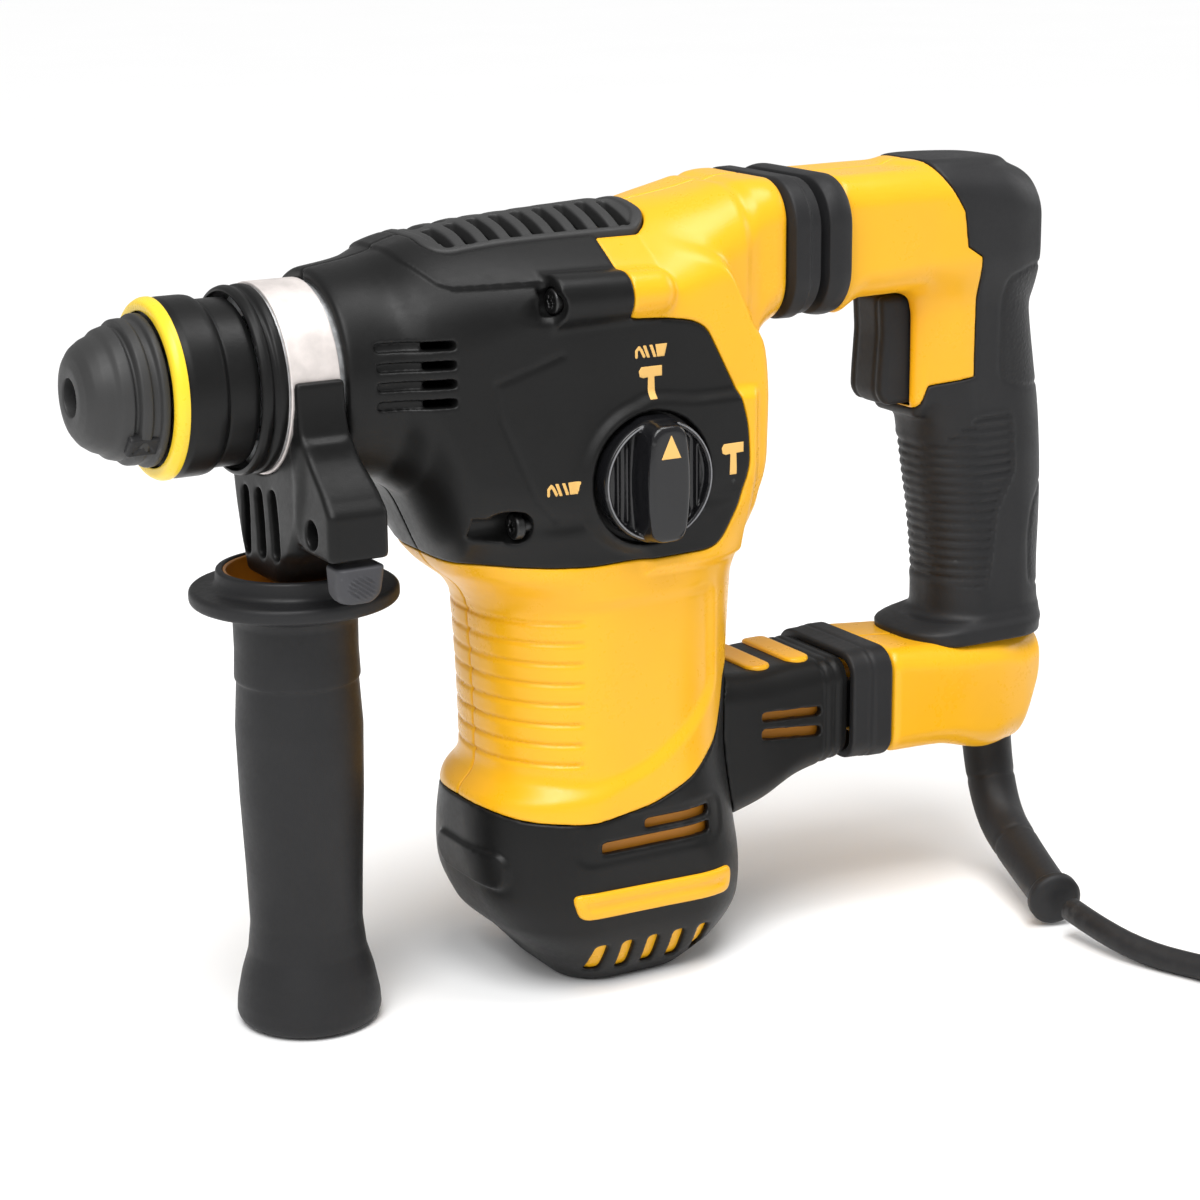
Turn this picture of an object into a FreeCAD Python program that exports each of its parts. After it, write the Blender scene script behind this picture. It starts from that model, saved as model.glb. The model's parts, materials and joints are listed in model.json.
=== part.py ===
import FreeCAD, Part
import os
from math import acos, asin, atan, cos, hypot, pi, radians, sin, sqrt, tan

import Sketcher

# Corded rotary hammer with a side handle, in millimetres.
# Frame: origin on the barrel axis at the tool holder's mouth, +X to the rear handle, +Z up.
# The tool stands on its motor cap and on the end of the side handle, at z = -stand_height.

Vec = FreeCAD.Vector
AXES = {"X": Vec(1, 0, 0), "Y": Vec(0, 1, 0), "Z": Vec(0, 0, 1)}
LEFT, RIGHT = -1, 1

DIMENSIONS = {
    # front end, on the barrel axis
    "socket_radius": 5.03,
    "socket_length": 16,
    "chuck_radius": 10.5,
    "spindle_radius": 14.2,
    "sleeve_front": 19,
    "sleeve_radius": 26,
    "sleeve_tail_radius": 25,
    "sleeve_travel": 6.5,
    "lip_front": 43,
    "lip_radius": 27.6,
    "band_front": 51,
    "band_width": 16,
    "collar_radius": 26.9,
    "band_radius": 28,
    "housing_front": 68,
    # hammer works
    "cylinder_radius": 14.2,
    "cylinder_bore": 12,
    "cylinder_end": 152,
    "striker_radius": 11.95,
    "piston_radius": 11.9,
    # gears
    "gear_module": 0.65,
    "bevel_module": 1.1,
    "gear_bottom": -52,
    "gear_thickness": 7,
    # motor
    "motor_axis": 160.5,
    "shaft_radius": 3.5,
    "core_radius": 18,
    "stator_radius": 31,
    "stator_bore": 18.6,
    "fan_radius": 28,
    # casing
    "wall": 3,
    "stand_height": 200,
    # side handle
    "grip_axis": 62,
    "grip_radius": 18.6,
    "flange_radius": 31.3,
    "cup_radius": 23.2,
    "bolt_radius": 4,
    # rear handle
    "pivot_along": 255,
    "pivot_height": -126,
    "pivot_radius": 4,
    "trigger_travel": 7,
    # knob
    "knob_height": -34.5,
    "knob_radius": 20.2,
    # cord
    "cord_radius": 4,
    "coil_middle_radius": 44,
}

doc = FreeCAD.newDocument("rotary_hammer")
sheet = doc.addObject("Spreadsheet::Sheet", "dims")
for row, (alias, value) in enumerate(DIMENSIONS.items(), start=1):
    sheet.set(f"A{row}", alias)
    sheet.set(f"B{row}", str(value))
    sheet.setAlias(f"B{row}", alias)
doc.recompute()

NODES = []


# ---------------------------------------------------------------- sizes

def size(given):
    """The number behind a size: a plain number, an alias, or (alias, offset)."""
    if isinstance(given, tuple):
        return sheet.get(given[0]) + given[1]
    if isinstance(given, str):
        return sheet.get(given)
    return given


def bind(thing, path, given):
    """Ties a property to the sheet where its size is an alias, and sets it otherwise."""
    if isinstance(given, tuple):
        thing.setExpression(path, f"dims.{given[0]} + ({given[1]})")
    elif isinstance(given, str):
        thing.setExpression(path, f"dims.{given}")
    else:
        setattr(thing, path, given)


def keep(thing):
    """Marks a finished sub-part, which is written out under its label."""
    NODES.append(thing)
    return thing


# ---------------------------------------------------------------- sketched pieces

def fix_corner(sketch, kind, corner, given):
    """Fixes one coordinate of a sketch corner, from the sheet where it has an alias."""
    value = size(given)
    if abs(value) < 1e-9:
        axis = -2 if kind == "DistanceX" else -1
        sketch.addConstraint(Sketcher.Constraint("PointOnObject", corner, 1, axis))
        return
    index = sketch.addConstraint(Sketcher.Constraint(kind, -1, 1, corner, 1, value))
    if not isinstance(given, (int, float)):
        bind(sketch, f"Constraints[{index}]", given)


def sketched_body(label, role, corners):
    """A body and its closed sketch of straight lines through the given corners."""
    body = doc.addObject("PartDesign::Body", label)
    body.Label = label
    sketch = body.newObject("Sketcher::SketchObject", f"{label}_outline")
    plane = next(f for f in body.Origin.OriginFeatures if f.Role == role)
    sketch.AttachmentSupport = [(plane, "")]
    sketch.MapMode = "FlatFace"
    points = [Vec(size(a), size(b), 0) for a, b in corners]
    count = len(points)
    for i in range(count):
        sketch.addGeometry(Part.LineSegment(points[i], points[(i + 1) % count]))
    for i in range(count):
        sketch.addConstraint(Sketcher.Constraint("Coincident", i, 2, (i + 1) % count, 1))
    for i, (a, b) in enumerate(corners):
        fix_corner(sketch, "DistanceX", i, a)
        fix_corner(sketch, "DistanceY", i, b)
    return body, sketch


def turned(label, outline, axis="X", at=(0, 0, 0)):
    """A turned piece: an outline of (along, radius) corners revolved about an axis."""
    body, sketch = sketched_body(label, "XY_Plane", outline)
    turn = body.newObject("PartDesign::Revolution", f"{label}_turn")
    turn.Profile = sketch
    turn.ReferenceAxis = (sketch, ["H_Axis"])
    turn.Angle = 360
    body.Placement = FreeCAD.Placement(Vec(*at), FreeCAD.Rotation(AXES["X"], AXES[axis]))
    return body


def tube_outline(start, end, bore, radius):
    return [(start, bore), (end, bore), (end, radius), (start, radius)]


def side_pad(label, outline, width, middle=0):
    """A piece with a side outline of (x, z) corners and an even width across Y."""
    body, sketch = sketched_body(label, "XZ_Plane", outline)
    pad = body.newObject("PartDesign::Pad", f"{label}_pad")
    pad.Profile = sketch
    bind(pad, "Length", width)
    pad.SideType = "Symmetric"
    body.Placement = FreeCAD.Placement(Vec(0, middle, 0), FreeCAD.Rotation())
    return body


# ---------------------------------------------------------------- primitives and booleans

def block(label, low, high):
    """A box between two corners."""
    box = doc.addObject("Part::Box", label)
    box.Label = label
    for path, a, b in zip(("Length", "Width", "Height"), low, high):
        setattr(box, path, size(b) - size(a))
    box.Placement.Base = Vec(*[size(a) for a in low])
    return box


def rod(label, radius, length, base, axis="Z"):
    """A cylinder from its base along an axis."""
    cylinder = doc.addObject("Part::Cylinder", label)
    cylinder.Label = label
    bind(cylinder, "Radius", radius)
    bind(cylinder, "Height", length)
    at = Vec(*[size(a) for a in base])
    cylinder.Placement = FreeCAD.Placement(at, FreeCAD.Rotation(AXES["Z"], AXES[axis]))
    return cylinder


def cut(label, base, tool):
    result = doc.addObject("Part::Cut", label)
    result.Label = label
    result.Base = base
    result.Tool = tool
    return result


def fuse(label, *pieces):
    result = doc.addObject("Part::MultiFuse", label)
    result.Label = label
    result.Shapes = list(pieces)
    return result


def group(label, *pieces):
    """Separate solids of one kind under one name."""
    result = doc.addObject("Part::Compound", label)
    result.Label = label
    result.Links = list(pieces)
    return result


def shaped(label, shape):
    """A piece whose form comes from lofts or gear flanks rather than from a sketch."""
    feature = doc.addObject("Part::Feature", label)
    feature.Label = label
    feature.Shape = shape
    return feature


# ---------------------------------------------------------------- free forms

def section(axis, station, inset):
    """A rounded rectangle square to an axis: (at, centre 1, centre 2, half 1, half 2, corner)."""
    at, c1, c2, h1, h2, corner = station
    h1, h2 = h1 - inset, h2 - inset
    r = max(0.5, min(corner - inset, h1 - 0.05, h2 - 0.05))

    def point(a, b):
        return Vec(at, a, b) if axis == "X" else Vec(a, b, at)

    edges = []
    for turn, (s1, s2) in enumerate(((1, 1), (-1, 1), (-1, -1), (1, -1))):
        m1, m2 = c1 + s1 * (h1 - r), c2 + s2 * (h2 - r)
        arc = [turn * pi / 2 + step * pi / 4 for step in range(3)]
        edges.append([point(m1 + r * cos(a), m2 + r * sin(a)) for a in arc])
    wire = []
    for i, (start, middle, end) in enumerate(edges):
        wire.append(Part.Arc(start, middle, end).toShape())
        wire.append(Part.LineSegment(end, edges[(i + 1) % 4][0]).toShape())
    return Part.Wire(wire)


def form(axis, stations, inset=0.0, end_inset=None):
    """A solid lofted through stations, drawn in by an inset on every side."""
    trim = inset if end_inset is None else end_inset
    placed = [list(s) for s in stations]
    placed[0][0] += trim
    placed[-1][0] -= trim
    return Part.makeLoft([section(axis, s, inset) for s in placed], True, True)


def prism(corners, low=-80, high=80):
    """A side outline of (x, z) corners made into a solid across Y."""
    wire = Part.makePolygon([Vec(x, low, z) for x, z in corners + corners[:1]])
    return Part.Face(wire).extrude(Vec(0, high - low, 0))


def box(low, high):
    return Part.makeBox(*[b - a for a, b in zip(low, high)], Vec(*low))


def half_space(side):
    """The half of the tool left or right of its middle plane."""
    return box((-60, 0, -260), (420, 160, 160)) if side == RIGHT else box((-60, -160, -260), (420, 0, 160))


# Casing stations: (at, centre, centre, half width, half width, corner radius).
BARREL = [
    (68, 0, 0, 30.5, 30.5, 30.4),
    (84, 0, 0, 33, 33, 32),
    (92, 0, -0.5, 36, 36.5, 30),
    (106, 0, -10.7, 38.5, 49.3, 30),
    (126, 0, -10.4, 40, 51.7, 28),
    (153, 0, -9.3, 41, 52.8, 27),
    (180, 0, -7.3, 39, 52.8, 26),
    (200, 0, -4.6, 33.5, 51.8, 21),
    (207.5, 0, -2.5, 30.5, 50.3, 18),
    (213, 0, 9.5, 28.5, 38.5, 16),
    (218, 0, 26.6, 27, 21.7, 13),
]
COLUMN = [
    (-200, 164.5, 0, 21.5, 23, 14),
    (-190, 166, 0, 32, 31, 20),
    (-177, 163.4, 0, 42.6, 36.5, 26),
    (-164, 160.7, 0, 45.3, 38.3, 28),
    (-150, 159.6, 0, 46.2, 38.5, 33),
    (-138, 159.4, 0, 45.4, 38.2, 35),
    (-126, 161.4, 0, 42.6, 37.6, 35),
    (-73, 161.3, 0, 44.7, 38, 35),
    (-62, 158, 0, 51, 38.3, 33),
    (-50, 158, 0, 53, 38, 30),
]
KNOB_SIDE = [
    (60, -58), (60, 60), (153, 60), (153, 34), (153.5, 14.5), (155, 13.5), (166, 12.8), (176, 11.2), (181, 8.5),
    (191.3, -11), (194.5, -22), (195.2, -34), (192, -46), (187, -56.5), (182, -59.3), (143, -60.3), (110, -58),
]
CAP_SIDE = [
    (100, -131.6), (107, -136), (122, -140.5), (142, -141.7), (163, -138.5), (179, -132), (190, -123),
    (194, -111), (195.5, -103), (215, -102), (215, -210), (100, -210),
]
VENT_WINDOW = ((99, -21, 20), (174, 21, 60))
FLANK_SLOPE, FLANK_HEIGHT = 33.3, 41.1
UPPER_SCREW = (129, 37.5, 20.5)
LOWER_SCREW = (117, 34, -45.5)


def flanks(inset):
    """What the slanted upper flanks of the gear housing leave off."""
    low = FLANK_HEIGHT - inset
    outline = [(60, low), (168, low), (220, low + 18), (220, 120), (60, 120)]
    return [prism(outline, -100, 100).rotated(Vec(), AXES["X"], side * FLANK_SLOPE) for side in (LEFT, RIGHT)]


def casing(inset, end_inset=None):
    whole = form("X", BARREL, inset, end_inset).fuse(form("Z", COLUMN, inset, end_inset))
    return whole.cut(flanks(inset)).removeSplitter()


def make_casing():
    """Both housings in halves, the motor cap, its trim, the vent insert and the bridge."""
    wall = size("wall")
    outer = casing(0)
    cavity = casing(wall)
    shell = outer.cut(cavity)
    nose = Part.makeCylinder(size("collar_radius") + 0.1, 20, Vec(60, 0, 0), AXES["X"])
    window = box(*VENT_WINDOW)
    shell = shell.cut([nose, window, gear_space()])
    black = prism(KNOB_SIDE)
    cap = prism(CAP_SIDE)
    slots = Part.makeCompound([
        box((75, -50, z), (100, 50, z + 3)) for z in (-7.5, -2, 3.5, 9)
    ])
    knob_hole = Part.makeCylinder(7.1, 30, Vec(size("motor_axis"), -20, size("knob_height")), Vec(0, -1, 0))
    bosses, spaces = make_screws()
    gear_shell = shell.fuse(bosses).cut(spaces).common(black).cut([slots, knob_hole])
    motor_shell = shell.cut([black, cap] + spaces)
    for side, name in ((LEFT, "left"), (RIGHT, "right")):
        keep(shaped(f"gear_housing_{name}", gear_shell.common(half_space(side))))
        keep(shaped(f"main_housing_{name}", motor_shell.common(half_space(side))))
    make_vent_insert(outer)
    make_motor_cap(shell.common(cap), outer)
    make_bridge(outer)


def gear_space():
    """Room for the crank gear, which comes close to the rear wall."""
    clearance = 1.2
    radius = CRANK_GEAR_TEETH * size("gear_module") / 2 + clearance
    base = Vec(gear_places()[0], 0, size("gear_bottom") - clearance)
    return Part.makeCylinder(radius, size("gear_thickness") + 2 * clearance, base)


def make_screws():
    """Four screws along X, the bosses on the housing's flanks that take them, and their spaces."""
    head, shank, thickness = 4, 2.2, 3
    bosses, screws, spaces = [], [], []
    for (x, y, z), radius, length in ((UPPER_SCREW, 7.6, 33), (LOWER_SCREW, 5.5, 16)):
        for side in (LEFT, RIGHT):
            at = Vec(x, side * y, z)
            seat = at + Vec(thickness, 0, 0)
            bosses.append(Part.makeCylinder(radius, length, at, AXES["X"]))
            inner = Part.makeCylinder(shank, length - 5 - thickness, seat, AXES["X"])
            drive = Part.makeCylinder(1.8, 1.6, at, AXES["X"])
            screws.append(Part.makeCylinder(head, thickness, at, AXES["X"]).cut(drive).fuse(inner))
            spaces.append(Part.makeCylinder(head, 30 + thickness, at - Vec(30, 0, 0), AXES["X"]).fuse(inner))
    keep(shaped("housing_screws", Part.makeCompound(screws)))
    return bosses, spaces


def make_vent_insert(outer):
    """The louvred panel in the top of the gear housing."""
    (x0, y0, z0), (x1, y1, z1) = VENT_WINDOW
    gap = 0.2
    panel = outer.common(box((x0 + gap, y0 + gap, z0), (x1 - gap, y1 - gap, z1)))
    panel = panel.cut(form("X", BARREL, 3.4).cut(flanks(3.4)))
    count, pitch, slot = 9, 7.35, 3.8
    rows = []
    for i in range(count):
        x = x0 + 5.8 + i * pitch
        rows.append(box((x, -19, z0), (x + slot, -2.4, z1)))
        rows.append(box((x, 2.4, z0), (x + slot, 19, z1)))
    keep(shaped("top_vent_insert", panel.cut(Part.makeCompound(rows))))


def make_motor_cap(cap, outer):
    """The black cap under the motor, its vents, and the yellow strip on each of its sides."""
    slats = [box((147 + i * 8.5, -60, -197), (151 + i * 8.5, 60, -184)) for i in range(5)]
    uppers = [box((160, -60, -146), (184, 60, -143)), box((145, -60, -152), (184, 60, -148.5))]
    keep(shaped("motor_end_cap", cap.cut(Part.makeCompound(slats + uppers))))
    raised = form("Z", COLUMN, -1.2, 0).cut(outer)
    strips = raised.common(prism([(134, -163.5), (193, -163.5), (191, -174.5), (138, -173)]))
    strips = strips.cut(box((100, -33, -180), (200, 33, -160)))
    keep(shaped("cap_trim_strips", strips))


BRIDGE = [
    (196, 0, -133, 23, 25, 9),
    (214, 0, -131.5, 22.5, 22, 9),
    (230, 0, -128, 21.5, 19, 9),
    (247, 0, -126.2, 21, 17.3, 8),
]


def make_bridge(outer):
    """The hollow arm from the motor cap to the handle joint, with two ears for the pivot pin."""
    wall = size("wall")
    x, z = size("pivot_along"), size("pivot_height")
    body = form("X", BRIDGE)
    inside = [list(s) for s in BRIDGE]
    inside[0][0] -= 10
    inside[-1][0] -= wall
    body = body.cut(form("X", inside, wall, 0)).cut(outer)
    ears = []
    for y in (-17, 12):
        ears.append(box((244, y, z - 8), (x, y + 5, z + 8)))
        ears.append(Part.makeCylinder(8, 5, Vec(x, y, z), AXES["Y"]))
    pin_hole = Part.makeCylinder(size("pivot_radius"), 60, Vec(x, -30, z), AXES["Y"])
    slots = [box((213, -30, level), (236, 30, level + 3.2)) for level in (-126, -132)]
    keep(shaped("rear_bridge", body.fuse(ears).cut(pin_hole).cut(Part.makeCompound(slots))))
    keep(rod("pivot_pin", "pivot_radius", 34, ("pivot_along", -17, "pivot_height"), "Y"))
    grown = form("X", BRIDGE, -1.2, 0).cut(form("X", BRIDGE)).cut(outer)
    inserts = [box((x0, -15, -115), (x0 + 9, 17, -90)) for x0 in (213, 228)]
    keep(shaped("bridge_inserts", grown.common(Part.makeCompound(inserts))))
    cuff = [(248, 0, -126, 23, 18.5, 8), (263, 0, -126.3, 23.5, 18.8, 8)]
    keep(shaped("handle_cuff", form("X", cuff).cut(form("X", cuff, wall, -1))))


# ---------------------------------------------------------------- front end

def make_nose():
    """Collar, lip, tool holder, dust cap, locking sleeve and what they hold."""
    keep(turned("nose_collar", [
        ("band_front", 18), (70, 18), (70, 21), (74, 21), (74, "collar_radius"), ("band_front", "collar_radius"),
    ]))
    keep(turned("collar_lip", [
        ("lip_front", 25.7), ("band_front", 25.7), ("band_front", "lip_radius"), (48, "lip_radius"), (47, 26.5),
        (46, "lip_radius"), (44.5, "lip_radius"), ("lip_front", 26.5),
    ]))
    holder = turned("holder_blank", [
        (0, "socket_radius"), ("socket_length", "socket_radius"), ("socket_length", 5.4), (53, 5.4), (56, 7.6),
        (80, 7.6), (80, "spindle_radius"), (45, "spindle_radius"), (43.5, "chuck_radius"),
        (2, "chuck_radius"), (0, 9),
    ])
    ball_at = (25.5, 8, 0)
    slots = group("ball_slots", *[
        rod(f"ball_slot_{i}", 3.45, 8, (ball_at[0], y, 0), "Y") for i, y in enumerate((4, -12))
    ])
    keep(cut("tool_holder", holder, slots))
    balls = []
    for i, side in enumerate((LEFT, RIGHT)):
        ball = doc.addObject("Part::Sphere", f"ball_{i}")
        ball.Radius = 3.3
        ball.Placement.Base = Vec(ball_at[0], side * ball_at[1], 0)
        balls.append(ball)
    keep(group("locking_balls", *balls))
    keep(turned("dust_cap", [
        (-4, 5.4), (0, 5.4), (0, 9.2), (2, 10.6), (18, 10.6), (18, 22), (15.6, 22), (14.6, 20.6), (12.6, 20.4),
        (11.6, 19), (8.6, 19), (7.4, 17.9), (4.4, 17.6), (1, 15.2), (-2, 11.6), (-4, 8.2),
    ]))
    keep(turned("locking_sleeve", [
        ("sleeve_front", 23.4), (20.6, 23.4), (20.6, 14.6), (28, 11.6), (31, 11.6), (31, 16.5), (44, 22.5),
        (44, "sleeve_tail_radius"), (34, "sleeve_tail_radius"), (31.5, "sleeve_radius"), (24, "sleeve_radius"),
        ("sleeve_front", 25.2),
    ]))
    keep(turned("sleeve_ring", [
        (18.2, 22.2), ("sleeve_front", 22.2), ("sleeve_front", 25.2), (22, 25.7), (22, 26.3), (18.8, 25.6),
    ]))
    spring_length = 12.5
    helix = Part.makeHelix(spring_length / 4, spring_length - 1.4, 13)
    wire = Part.Wire(Part.makeCircle(0.65, Vec(13, 0, 0), Vec(0, 1, 0)))
    coil = Part.Wire(helix).makePipeShell([wire], True, True)
    coil.Placement = FreeCAD.Placement(Vec(31.75, 0, 0), FreeCAD.Rotation(AXES["Z"], AXES["X"]))
    keep(shaped("sleeve_spring", coil))


# ---------------------------------------------------------------- hammer works and gears

PRESSURE = radians(25)


def involute(angle):
    return tan(angle) - angle


def half_thickness(teeth, module, height, slack):
    """Half the arc that a tooth takes at a height above its pitch circle."""
    pitch = teeth * module / 2
    base = pitch * cos(PRESSURE)
    radius = max(pitch + height, base)
    return (pi / (2 * teeth) - slack / pitch + involute(PRESSURE) - involute(acos(base / radius))) * (pitch + height)


def tooth_heights(module):
    """Heights of a flank's points above the pitch circle, from root to tip."""
    return [-1.2 * module, -0.6 * module, 0, 0.45 * module, 0.9 * module]


def spur(teeth, module, turn=0.0, slack=0.07):
    """The outline of a spur gear about Z, with a tooth at the angle turn."""
    points = []
    pitch = teeth * module / 2
    for i in range(teeth):
        middle = turn + i * 2 * pi / teeth
        flank = [(pitch + h, half_thickness(teeth, module, h, slack) / (pitch + h)) for h in tooth_heights(module)]
        for radius, spread in flank:
            points.append(Vec(radius * cos(middle - spread), radius * sin(middle - spread), 0))
        for radius, spread in reversed(flank):
            points.append(Vec(radius * cos(middle + spread), radius * sin(middle + spread), 0))
    return Part.Face(Part.makePolygon(points + points[:1]))


def bevel(teeth, other_teeth, module, turn=0.0, slack=0.1, face=0.29):
    """A bevel gear whose cones meet at the origin, opening along -Z."""
    cone = atan(teeth / other_teeth)
    distance = hypot(teeth, other_teeth) * module / 2
    flat = distance * cos(cone)
    virtual = teeth / cos(cone)
    outline = []
    for i in range(teeth):
        middle = turn + i * 2 * pi / teeth
        flank = []
        for height in tooth_heights(module):
            opening = cone + height / distance
            spread = half_thickness(virtual, module, height, slack) / (distance * sin(opening))
            flank.append((tan(opening), spread))
        for reach, spread in flank:
            outline.append((reach, middle - spread))
        for reach, spread in reversed(flank):
            outline.append((reach, middle + spread))
    rings = []
    for depth in (flat * 1.15, flat * (1 - face) * 0.8):
        rings.append([Vec(depth * r * cos(a), depth * r * sin(a), -depth) for r, a in outline])
    faces = [Part.Face(Part.makePolygon(ring + ring[:1])) for ring in rings]
    for i in range(len(outline)):
        j = (i + 1) % len(outline)
        loop = [rings[0][i], rings[0][j], rings[1][j], rings[1][i]]
        faces.append(Part.Face(Part.makePolygon(loop + loop[:1])))
    solid = Part.Solid(Part.Shell(faces))
    shell = Part.makeSphere(distance).cut(Part.makeSphere(distance * (1 - face)))
    return solid.common(shell)


PINION_TEETH = 12
CRANK_GEAR_TEETH = 60
SHAFT_GEAR_TEETH = 66
BEVEL_PINION_TEETH = 13
RING_TEETH = 39


def gear_places():
    """X of the crank shaft and of the intermediate shaft, on each side of the motor pinion."""
    reach = size("gear_module") / 2
    crank = size("motor_axis") + (PINION_TEETH + CRANK_GEAR_TEETH) * reach
    shaft = size("motor_axis") - (PINION_TEETH + SHAFT_GEAR_TEETH) * reach
    return crank, shaft


def make_gears():
    """Crank gear, intermediate shaft and the bevel pair that turns the cylinder."""
    module, bottom, thick = size("gear_module"), size("gear_bottom"), size("gear_thickness")
    crank_x, shaft_x = gear_places()
    gear = spur(CRANK_GEAR_TEETH, module, pi / CRANK_GEAR_TEETH).extrude(Vec(0, 0, thick))
    gear = gear.cut(Part.makeCylinder(5.05, thick))
    gear.translate(Vec(crank_x, 0, bottom))
    keep(shaped("crank_gear", gear))
    gear = spur(SHAFT_GEAR_TEETH, module, pi / SHAFT_GEAR_TEETH).extrude(Vec(0, 0, thick))
    gear = gear.cut(Part.makeCylinder(4, thick))
    gear.translate(Vec(shaft_x, 0, bottom))
    keep(shaped("intermediate_gear", gear))
    ring_radius = RING_TEETH * size("bevel_module") / 2
    pinion_radius = BEVEL_PINION_TEETH * size("bevel_module") / 2
    pinion = bevel(BEVEL_PINION_TEETH, RING_TEETH, size("bevel_module"), pi)
    apex = Vec(shaft_x, 0, 0)
    pinion.translate(apex)
    shaft = Part.makeCylinder(4, 60 - ring_radius, Vec(shaft_x, 0, -60))
    keep(shaped("intermediate_shaft", shaft.fuse(pinion)))
    ring = bevel(RING_TEETH, BEVEL_PINION_TEETH, size("bevel_module"), pi / RING_TEETH)
    ring.Placement = FreeCAD.Placement(apex, FreeCAD.Rotation(Vec(0, 1, 0), 90))
    front = shaft_x - pinion_radius
    hub = Part.makeCylinder(17, 2.2, Vec(front - 1.8, 0, 0), AXES["X"])
    hub = hub.fuse(Part.makeCylinder(20, 6, Vec(front - 7.8, 0, 0), AXES["X"]))
    bore = Part.makeCylinder(size("cylinder_radius"), 40, Vec(front - 20, 0, 0), AXES["X"])
    keep(shaped("bevel_ring_gear", ring.fuse(hub).cut(bore)))


def make_hammer_works():
    """Cylinder, striker, impact bolt, piston, connecting rod and crank shaft."""
    keep(turned("cylinder", tube_outline(80, "cylinder_end", "cylinder_bore", "cylinder_radius")))
    keep(turned("impact_bolt", [
        (46, 0), (46, 4.9), (58, 4.9), (61, 7.4), (77, 7.4), (77, 5.5), (84, 5.5), (84, 0),
    ]))
    keep(turned("striker", [
        (92, 0), (92, 6), (97, 6), (98, "striker_radius"), (120, "striker_radius"), (120, 0),
    ]))
    crank_x = gear_places()[0]
    pin_x, wrist_x = crank_x - 12, 140
    blank = turned("piston_blank", [
        (126, 0), (126, "piston_radius"), (149, "piston_radius"), (149, 9), (133, 9), (133, 0),
    ])
    wrist = rod("wrist_pin", 2.5, 20, (wrist_x, 0, -10))
    keep(fuse("piston", blank, wrist))
    rod_bar = block("rod_bar", (wrist_x + 2, -3.5, -3), (pin_x - 3, 3.5, 3))
    small_end = rod("rod_small_end", 5, 6, (wrist_x, 0, -3))
    big_end = rod("rod_big_end", 7, 6, (pin_x, 0, -3))
    eyes = group("rod_eyes", rod("wrist_eye", 2.55, 10, (wrist_x, 0, -5)), rod("crank_eye", 3.55, 10, (pin_x, 0, -5)))
    keep(cut("connecting_rod", fuse("rod_blank", rod_bar, small_end, big_end), eyes))
    shaft = rod("crank_spindle", 5, 42, (crank_x, 0, -58))
    web = rod("crank_web", 16.5, 7, (crank_x, 0, -23))
    pin = rod("crank_pin", 3.5, 21, (pin_x, 0, -16))
    keep(fuse("crank_shaft", shaft, web, pin))


def make_gear_case():
    """The metal plate under the gears, the case over them, and the bearings."""
    crank_x, shaft_x = gear_places()
    motor_x = size("motor_axis")
    plate = form("Z", [(-66, 158.5, 0, 44, 33, 29), (-58, 158.5, 0, 46, 33, 29)])
    holes = [Part.makeCylinder(8, 20, Vec(motor_x, 0, -70))]
    holes.append(Part.makeCylinder(7, 20, Vec(shaft_x, 0, -64)))
    keep(shaped("gear_plate", plate.cut(Part.makeCompound(holes))))
    top = box((118, -27, -34), (198, 27, -28))
    walls = [box((128, y, -56), (170, y + 3, -34)) for y in (-27, 24)]
    carrier = box((144.5, -22, -28), (151, 22, 21))
    case = top.fuse(walls + [carrier])
    spaces = [
        Part.makeCylinder(18, 20, Vec(140, 0, 0), AXES["X"]),
        Part.makeCylinder(7, 20, Vec(shaft_x, 0, -40)),
        Part.makeCylinder(5.5, 40, Vec(crank_x, 0, -60)),
    ]
    keep(shaped("gear_case", case.cut(Part.makeCompound(spaces))))
    seats = [
        ("X", Vec(56, 0, 0), 10, "spindle_radius", 18),
        ("X", Vec(144.5, 0, 0), 6.5, "cylinder_radius", 18),
        ("Z", Vec(shaft_x, 0, -64), 6, 4, 7),
        ("Z", Vec(shaft_x, 0, -34), 6, 4, 7),
        ("Z", Vec(motor_x, 0, -66), 7, "shaft_radius", 8),
        ("Z", Vec(motor_x, 0, -189), 7, "shaft_radius", 9),
    ]
    rings = []
    for axis, at, width, bore, radius in seats:
        ring = Part.makeCylinder(size(radius), width, at, AXES[axis])
        rings.append(ring.cut(Part.makeCylinder(size(bore) + 0.04, width, at, AXES[axis])))
    keep(shaped("bearings", Part.makeCompound(rings)))


# ---------------------------------------------------------------- motor

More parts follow.
